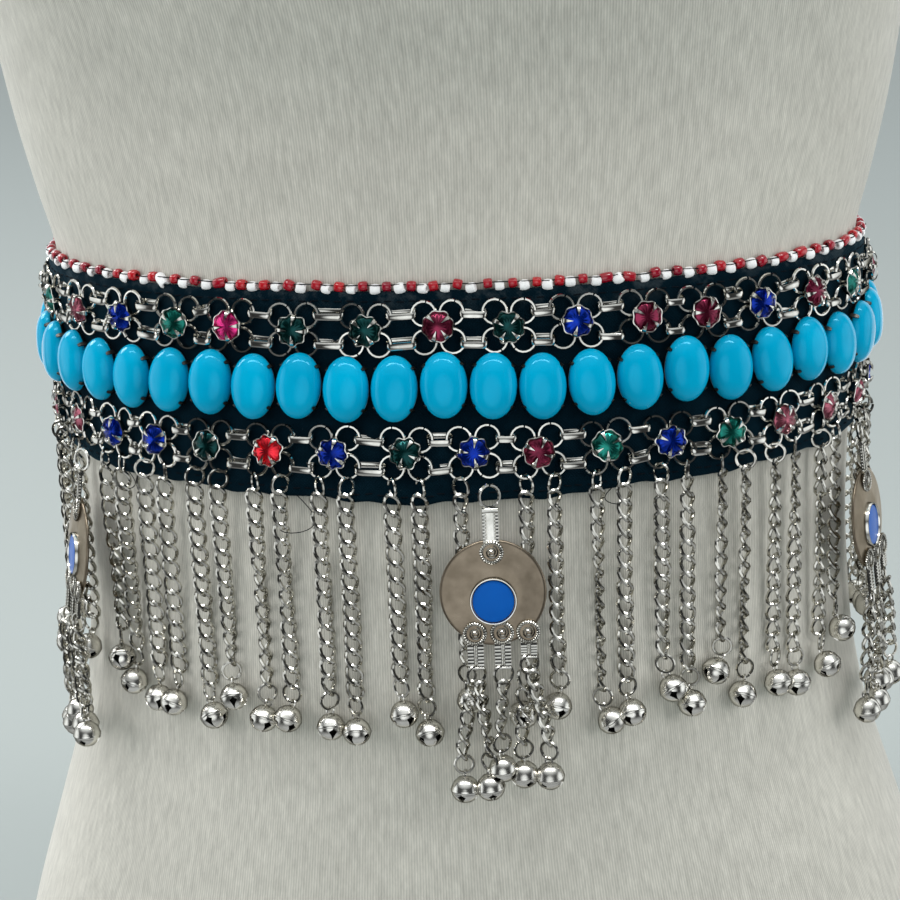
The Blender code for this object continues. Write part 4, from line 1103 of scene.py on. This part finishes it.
def bell_shape():
    """A jingle bell: a domed crown to a rolled ridge, and under it four petals that meet below. Between them
    run narrow slots, each with a wider hole near the ridge. Above stands a small wire loop."""
    size = BELL_RADIUS
    profile = [(size * share, height) for share, height in BELL_RIDGE]
    profile += [(size * cos(a) ** 0.95, size * CROWN_RISE * sin(a) ** 1.05) for a in BELL_CROWN]
    profile.append((0.0, size * CROWN_RISE))
    down, reach = BELL_PETAL.T[..., None]
    petals = []
    for quarter in range(4):
        angle = quarter * pi / 2.0 + pi / 4.0 + np.linspace(-1.0, 1.0, 5) * reach
        outer = polar(size * np.cos(down), angle, -size * PETAL_FALL * np.sin(down))
        petals.append(capped(np.concatenate([outer, BELL_SHELL * outer[:, ::-1]], 1)))
    on_edge = turned_by(np.eye(3)[None], 0, -pi / 2.0)
    wire = open_ring_shape(LOOP_RADIUS, LOOP_WIRE, 12, 5, LOOP_SPLIT)
    loop = repeated(wire, UPRIGHT[None] * (size + BELL_LOOP), on_edge)
    return joined(turned_on_axis(profile, 20), *petals, loop)


def bells_at(places, axes):
    """Bells and, as a shape of their own, the near-black fills inside them: painted shade for their hollows.
    """
    inside = turned_on_axis(SHADE_FILL_PROFILE, 10)
    return repeated(bell_shape(), places, axes), repeated(inside, places, axes)


def reach_out(origin, outward, height):
    """How far along a level line from the origin the torso or the belt's cloth reaches at a height: where
    the line crosses the ellipse of the section there."""
    cloth = (height > BAND_BOTTOM - BAND_DIP - 1.0)[..., None]
    sizes = np.where(cloth, stacked(*belt_sizes(height)), form_sizes(height)[..., :3])
    half_width, front, back = np.moveaxis(sizes, -1, 0)
    depth = np.where(origin[..., 1] < 0, front, back)
    a = (outward[..., 0] / half_width) ** 2 + (outward[..., 1] / depth) ** 2
    b = origin[..., 0] * outward[..., 0] / half_width ** 2 + origin[..., 1] * outward[..., 1] / depth ** 2
    c = (origin[..., 0] / half_width) ** 2 + (origin[..., 1] / depth) ** 2 - 1.0
    return (-b + np.sqrt(np.maximum(b * b - a * c, 0.0))) / a


def chain_roots():
    """Foot of each lower ring that carries a bell chain, level directions along the belt and away from it
    there, and the chain's drop."""
    number = np.repeat(np.arange(ROSETTES) - ROSETTES // 2, 2)
    side = np.tile([-1, 1], ROSETTES)
    taken = [(index, ring) for _, index, ring, *_ in MEDALLIONS]
    free = np.array([(n, s) not in taken for n, s in zip(number, side)])
    number, side = number[free], side[free]
    drop = np.array(CHAIN_DROPS)[number % len(CHAIN_DROPS), (side + 1) // 2]
    places, axes = belt_frames(rosette_arcs(LOWER_ARC, LOWER_PITCH, LOWER_SHIFTS, number), LOWER_ROW)
    foot = stacked(side * RING_CENTRE, -RING_CENTRE - RING_RADIUS, RING_OUT)
    along = unit(axes[:, :, 0] * [1.0, 1.0, 0.0])
    return places + np.einsum("nij,nj->ni", axes, foot), along, np.cross(along, UPRIGHT), drop


def hang(root, outward, rest, below):
    """Points this far under the roots: each lies `rest` off the furthest thing level with it or above it."""
    fine = np.arange(0.0, HANG_REACH, 1.0)
    lying = reach_out(root[:, None], outward[:, None], root[:, 2:] - ROW_Z - fine)
    furthest = np.maximum.accumulate(lying, 1)
    index = np.clip(below, 0.0, fine[-1] - 0.1)
    low = index.astype(int)
    rows = np.arange(len(root))[:, None]
    reach = furthest[rows, low] * (1 - index + low) + furthest[rows, low + 1] * (index - low) + rest
    return root[:, None] + outward[:, None] * reach[..., None] - UPRIGHT * below[..., None]


def link_run(ring_drop, drop):
    """The middles of a chain's first and last link, below its root, and how many links fit between them,
    when the top ring's middle and the bell's middle are this far down."""
    first = ring_drop + TOP_RING - 2.0 * LINK_WIRE + LINK_HALF_LENGTH
    last = drop - BELL_RADIUS - BELL_HOOK - 2.0 * FOOT_RING - LINK_HALF_LENGTH + FOOT_HOOK
    return first, last, np.round((last - first) / CURB_PITCH).astype(int) + 1


def make_bell_chains():
    """Jump rings and curb links, then bells, then the near-black fills of painted shade inside them. The
    links of a chain turn on a little from one to the next, and chains and bells hang a little askew."""
    spread = np.random.default_rng(31)
    root, along, outward, drop = chain_roots()
    chains = len(root)
    first, last, links = link_run(TOP_RING - TOP_HOOK, drop)
    turn = spread.normal(*CHAIN_TURN, chains)
    sway = spread.normal(0.0, CHAIN_SWAY, chains) - CHAIN_DRAW * root[:, 0] * np.sign(along[:, 0])
    level = stacked(along, -outward, UPRIGHT)
    opened = turned_by(level, 2, spread.choice([-1, 1], chains) * spread.uniform(*TOP_RING_TURN, chains))
    at = hang(root, outward, CHAIN_REST, np.full((chains, 1), TOP_RING - TOP_HOOK))[:, 0]
    axes = turned_by(turned_by(opened, 0, pi / 2.0), 2, spread.uniform(0.0, CUT_TURN, chains))
    metal = [repeated(open_ring_shape(TOP_RING, JUMP_WIRE, 18), at, axes)]
    spots, frames = [], []
    for chain in range(chains):
        below = np.linspace(first, last[chain], links[chain])
        one = slice(chain, chain + 1)
        points = hang(root[one], outward[one], CHAIN_REST, below[None])[0]
        spots.append(points + along[chain] * (sway[chain] * below[:, None]))
        swing = turn[chain] + np.cumsum(spread.normal(0.0, LINK_STEP, links[chain]))
        frames.append(turned_by(np.repeat(level[one], links[chain], 0), 2, swing))
    metal.append(repeated(curb_link_shape(), np.concatenate(spots), np.concatenate(frames)))
    ring_below = (drop - BELL_RADIUS - BELL_HOOK - FOOT_RING)[:, None]
    loop_below = (drop - BELL_RADIUS - BELL_LOOP)[:, None]
    slide = along * sway[:, None]
    ring_at = hang(root, outward, BELL_REST, ring_below)[:, 0] + slide * ring_below
    loop_at = hang(root, outward, BELL_REST, loop_below)[:, 0] + slide * loop_below
    axes = turned_by(level, 2, spread.uniform(-FOOT_RING_TURN, FOOT_RING_TURN, chains))
    axes = turned_by(turned_by(axes, 0, pi / 2.0), 2, spread.uniform(0.0, CUT_TURN, chains))
    metal.append(repeated(open_ring_shape(FOOT_RING, JUMP_WIRE, 18), ring_at, axes))
    axes = turned_by(level, 0, -BELL_LEAN - np.abs(spread.normal(0.0, BELL_TIP, chains)))
    axes = shaken(axes, 1, spread, BELL_SWAY)
    axes = turned_by(axes, 2, spread.uniform(0.0, 2.0 * pi, chains))
    return joined(*metal), *bells_at(loop_at - axes[:, :, 2] * (BELL_RADIUS + BELL_LOOP), axes)


chain_metal, bell_metal, bell_shade_fills = make_bell_chains()
# The bells' hollows are filled with near-black metal: painted shade, where no lamp reaches inside.
bell_shade_finish = metal_finish("bell_painted_shade", (0.006, 0.006, 0.006), (0.02, 0.02, 0.018), 0.8, 0.6)
bell_nickel = metal_finish("bright_nickel", (0.78, 0.76, 0.70), (0.95, 0.93, 0.87), 0.27, 0.15)
chain_nickel = metal_finish("chain_nickel", (0.42, 0.41, 0.37), (0.86, 0.84, 0.77), 0.14, 0.07)
bell_chains = new_object("bell_chains", chain_metal, chain_nickel)
bells = new_object("bells", bell_metal, bell_nickel)
bell_painted_shade_fills = new_object("bell_painted_shade_fills", bell_shade_fills, bell_shade_finish)
for made in (bell_chains, bells, bell_painted_shade_fills):
    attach(made, BODY)

# ---------------------------------------------------------------- medallions
# A stamped nickel disc with a flat blue inlay in a raised bezel. A ribbed strap and a jump ring carry it, and
# it turns on that ring. Three more straps with rope-edged coil heads hold short bell chains under it.
DISC_DROP = 28.3                  # from the hinge down to the disc's middle
DISC_PROFILE = [(0.0, 0.55), (6.0, 0.45), (11.0, 0.2), (13.6, 0.0), (14.05, 0.12), (14.15, 0.4),
                (14.05, 0.72), (13.7, 0.9), (13.3, 0.94), (10.5, 1.25), (8.0, 1.6), (6.0, 1.75), (4.0, 1.4),
                (0.0, 1.4)]
BEZEL_RADIUS, BEZEL_INSIDE, BEZEL_DROP = 6.25, 5.75, 2.2
INLAY_PROFILE = [(0.0, 1.46), (5.4, 1.46), (5.6, 1.7), (5.48, 2.1), (5.0, 2.2), (0.0, 2.25)]
STRAP_HALF_WIDTH, STRAP_TOP, STRAP_FOOT, STRAP_PANEL = 2.1, -6.0, -14.8, 1.0
COIL_RADIUS, COIL_STANDS, COIL_OVER = 2.7, 1.55, 10.8
HINGE_RING, HINGE_WIRE, HINGE_RING_AT = 3.0, 0.45, (0.0, -2.7, 0.9)
HINGE_HEIGHT, HINGE_OUT = -24.4, 3.0
HANGERS = [
    # distance from the disc's middle line, length of the strap, and each bell's distance and drop
    (-5.2, 9.5, ((-9.4, 34.8), (-2.6, 34.2))),
    (2.0, 9.6, ((0.9, 29.1),)),
    (8.9, 7.0, ((6.6, 33.8), (13.4, 34.3))),
]
HANGER_TOP, HEAD_REACH, HANGER_HOOK, PAIR_ROOTS = 10.8, 2.4, 0.5, 2.0
BELL_OUT = 0.9                    # how far a pair's second chain hangs in front of its first
BAR_PITCH, BAR_WIRE, BAR_TOP, BAR_FOOT = 0.95, 0.31, 1.4, 1.1
BAR_ROOM = 2.2                    # how much of a strap's length gets no bars
ROPE_TURNS, ROPE_WIRE, ROPE_LAY = 13.0, 0.3, 0.27     # the last is from a wire's middle to the rope's
COIL_START, COIL_REACH, COIL_TURNS, COIL_WIRE = 0.3, 1.45, 2.2, 0.22
HANGER_RING_TURN, HANGER_TURN, HANGER_STEP = (0.2, 0.5), (0.4, 1.1), 0.2
HANGER_TIP, HANGER_SWAY = (-0.2, 0.05), 0.16      # of a bell, in radians


def moved(shape, x=0.0, y=0.0, z=0.0):
    """The shape shifted along its own axes."""
    return shape[0] + np.array([x, y, z]), shape[1]


def strap_shape(top, foot, panel):
    """A thin strap down the Y axis: its plate, and what stands on it. Bars run along both edges, beside a
    plain panel or, where the panel is 0, beside two thin lines. Its top and its foot are folded over."""
    half = STRAP_HALF_WIDTH
    edge = np.array([(-0.25, -half), (-0.25, half), (0.1, half), (0.25, half * 0.9), (0.25, -half * 0.9),
                     (0.1, -half)])
    plate = carried(stacked(0.0, np.array([top, top - 0.15, foot + 0.15, foot]), 1.2), UPRIGHT, edge)
    bars = int(round((top - foot - BAR_ROOM) / BAR_PITCH)) + 1
    inner = panel + 0.35 if panel else 0.55
    bar = carried(stacked(np.linspace(inner, half + 0.05, 4), 0.0, 0.0), UPRIGHT, round_profile(BAR_WIRE, 6))
    places = stacked(0.0, np.linspace(top - BAR_TOP, foot + BAR_FOOT, bars), 1.55)
    right = repeated(bar, places, np.repeat(np.eye(3)[None], bars, 0))
    left = (right[0] * [-1.0, 1.0, 1.0], [face[:, ::-1] for face in right[1]])
    line, lines_at = np.linspace(top - 0.7, foot + 0.7, 4), panel or 0.22
    lines = [carried(stacked(x, line, 1.45), UPRIGHT, round_profile(0.16, 5)) for x in (-lines_at, lines_at)]
    folds = [(top - 0.3, 0.75 if panel else 0.35), (foot + 0.2, 0.35 if panel else 0.4)]
    lips = [carried(stacked(np.linspace(-half, half, 4), y, 1.3), UPRIGHT, round_profile(radius, 8))
            for y, radius in folds]
    return plate, joined(right, left, *lines, *lips)


def coil_shape():
    """A round head: its plate, and on it two wires that wind round each other along the edge, and a third
    coiled up inside."""
    angle = full_turn(108)
    wires = []
    for start in (0.0, pi):
        swing = ROPE_TURNS * angle + start
        path = polar(COIL_RADIUS + ROPE_LAY * np.cos(swing), angle, 0.1 + ROPE_LAY * np.sin(swing))
        wires.append(carried(path, path, round_profile(ROPE_WIRE, 5), closed=True))
    turn = np.linspace(0.0, 2.0 * pi * COIL_TURNS, 46)
    coil = polar(COIL_START + COIL_REACH * turn / turn[-1], turn, 0.12)
    wires.append(carried(coil, coil, round_profile(COIL_WIRE, 5)))
    plate = turned_on_axis([(0.0, -0.5), (COIL_RADIUS, -0.5), (COIL_RADIUS, -0.15), (0.0, -0.1)], 24)
    return moved(plate, z=COIL_STANDS), moved(joined(*wires), z=COIL_STANDS)


def disc_shape():
    """A coin, slightly domed in front and hollow behind, with a rounded edge; and a bezel ring that stands
    on it, its wall carried round a circle."""
    middle, wall = (BEZEL_RADIUS + BEZEL_INSIDE) / 2.0, (BEZEL_RADIUS - BEZEL_INSIDE) / 2.0
    path = polar(middle, full_turn(72), 0.0)
    rim = np.array([(wall * 1.6, 0.9), (wall, 0.3), (wall, -0.85), (wall * 0.5, -1.02), (-wall * 0.5, -1.02),
                    (-wall, -0.85), (-wall, 0.9)])
    bezel = moved(carried(path, path, rim, closed=True), y=-DISC_DROP - BEZEL_DROP, z=1.5)
    return moved(turned_on_axis(DISC_PROFILE, 96), y=-DISC_DROP), bezel


def medallion_chains(tilt):
    """Short chains and their bells under the straps; they hang plumb though the disc is tilted. Two chains of
    one strap start side by side and fan out to their bells."""
    spread = np.random.default_rng(41)
    plumb = turned_by(np.eye(3)[None], 0, tilt)
    hanging = plumb @ np.array([[1.0, 0.0, 0.0], [0.0, 0.0, 1.0], [0.0, -1.0, 0.0]])
    down = -plumb[0, :, 1]
    metal, bell_spots, bell_frames = [], [], []
    for x, length, hung in HANGERS:
        foot = np.array([x, -DISC_DROP - HANGER_TOP - length + HANGER_HOOK, 1.25])
        ring_drop = TOP_RING - DISC_HOOK
        ring_at = foot + down * ring_drop
        axes = turned_by(plumb, 1, spread.uniform(*HANGER_RING_TURN))
        metal.append(repeated(open_ring_shape(TOP_RING, JUMP_WIRE, 18), ring_at[None], axes))
        for place, (bell_x, drop) in enumerate(hung):
            near, fan, out = (place - (len(hung) - 1) / 2.0) * PAIR_ROOTS, bell_x - x, BELL_OUT * place
            first, last, count = link_run(ring_drop, drop)
            below = np.linspace(first, last, count)
            sideways = near + (fan - near) * (below - first) / (last - first)
            spots = foot + down * below[:, None] + stacked(sideways, 0.0, out)
            swing = spread.uniform(*HANGER_TURN) + np.cumsum(spread.normal(0.0, HANGER_STEP, count))
            axes = turned_by(np.repeat(hanging, count, 0), 2, swing)
            metal.append(repeated(curb_link_shape(), spots, axes))
            ring_at = foot + down * (drop - BELL_RADIUS - BELL_HOOK - FOOT_RING) + [fan, 0.0, out]
            axes = turned_by(plumb, 1, spread.uniform(-FOOT_RING_TURN, FOOT_RING_TURN))
            metal.append(repeated(open_ring_shape(FOOT_RING, JUMP_WIRE, 18), ring_at[None], axes))
            bell_spots.append(foot + down * drop + [fan, 0.0, out])
            tipped = turned_by(hanging, 0, spread.uniform(*HANGER_TIP))
            tipped = turned_by(tipped, 1, spread.uniform(-HANGER_SWAY, HANGER_SWAY))
            bell_frames.append(turned_by(tipped, 2, spread.uniform(0.0, CUT_TURN))[0])
    return joined(*metal), *bells_at(np.array(bell_spots), np.array(bell_frames))


def medallion_frame(index, side, tilt, turn):
    """The hinge's place and axes: across the belt and level, up the tilted disc, and out of its face."""
    arc = rosette_arcs(LOWER_ARC, LOWER_PITCH, LOWER_SHIFTS, np.array([index])) + side * RING_CENTRE
    places, axes = belt_frames(arc, HINGE_HEIGHT)
    across = unit(axes[:, :, 0] * [1.0, 1.0, 0.0])
    outward = np.cross(across, UPRIGHT)
    level = stacked(across, UPRIGHT, outward)
    return places + outward * HINGE_OUT, turned_by(turned_by(level, 1, turn), 0, -tilt)


satin_metal = metal_finish("satin_nickel", (0.235, 0.192, 0.14), (0.295, 0.243, 0.183), 0.36, 0.26,
                           grain=900.0, edge=(0.8, 0.78, 0.72))
blue_inlay = new_finish("blue_inlay", Roughness=0.3, Specular_IOR_Level=0.12)
inlay_cloud = noise(blue_inlay, own_place(blue_inlay), 300.0)
feed(blue_inlay, Base_Color=mixed(blue_inlay, inlay_cloud, (0.0, 0.075, 0.35), (0.0, 0.095, 0.42)))
for body, index, side, tilt_degrees, turn_degrees in MEDALLIONS:
    tilt = radians(tilt_degrees)
    place, axes = medallion_frame(index, side, tilt, radians(turn_degrees))
    ring = repeated(open_ring_shape(HINGE_RING, HINGE_WIRE, 20), np.array([HINGE_RING_AT]),
                    turned_by(np.eye(3)[None], 1, 0.5))
    coin, bezel = disc_shape()
    straps = [strap_shape(STRAP_TOP, STRAP_FOOT, STRAP_PANEL)]
    coils = [[moved(part, y=COIL_OVER - DISC_DROP) for part in coil_shape()]]
    for x, length, _ in HANGERS:
        head = -DISC_DROP - HANGER_TOP
        straps.append([moved(part, x=x) for part in strap_shape(head - HEAD_REACH, head - length, 0.0)])
        coils.append([moved(part, x=x, y=head) for part in coil_shape()])
    chains, bell, shade_fills = medallion_chains(tilt)
    inlay = moved(turned_on_axis(INLAY_PROFILE, 64), y=-DISC_DROP - BEZEL_DROP)
    made = {
        "disc": (joined(coin, *(plate for plate, _ in coils)), satin_metal, "medallion_metal"),
        "backs": (joined(*(plate for plate, _ in straps[1:])), dark_nickel, "nickel"),
        "straps": (joined(ring, bezel, straps[0][0], *(raised for _, raised in straps)), nickel, "nickel"),
        "inlay": (inlay, blue_inlay, "blue_disc"),
        "chains": (joined(chains, *(wires for _, wires in coils)), chain_nickel, "nickel"),
        "bells": (bell, bell_nickel, "nickel"),
        # the near-black fills in the bells are painted shade
        "bell_painted_shade_fills": (shade_fills, bell_shade_finish, "nickel"),
    }
    for what, (shape, finish, slot) in made.items():
        piece = new_object(f"{body}_{what}", repeated(shape, place, axes), finish)
        if what == "disc":
            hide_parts(body)
        if what == "inlay":
            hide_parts(f"{body}_stone")
        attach(piece, body)

bpy.context.view_layer.update()
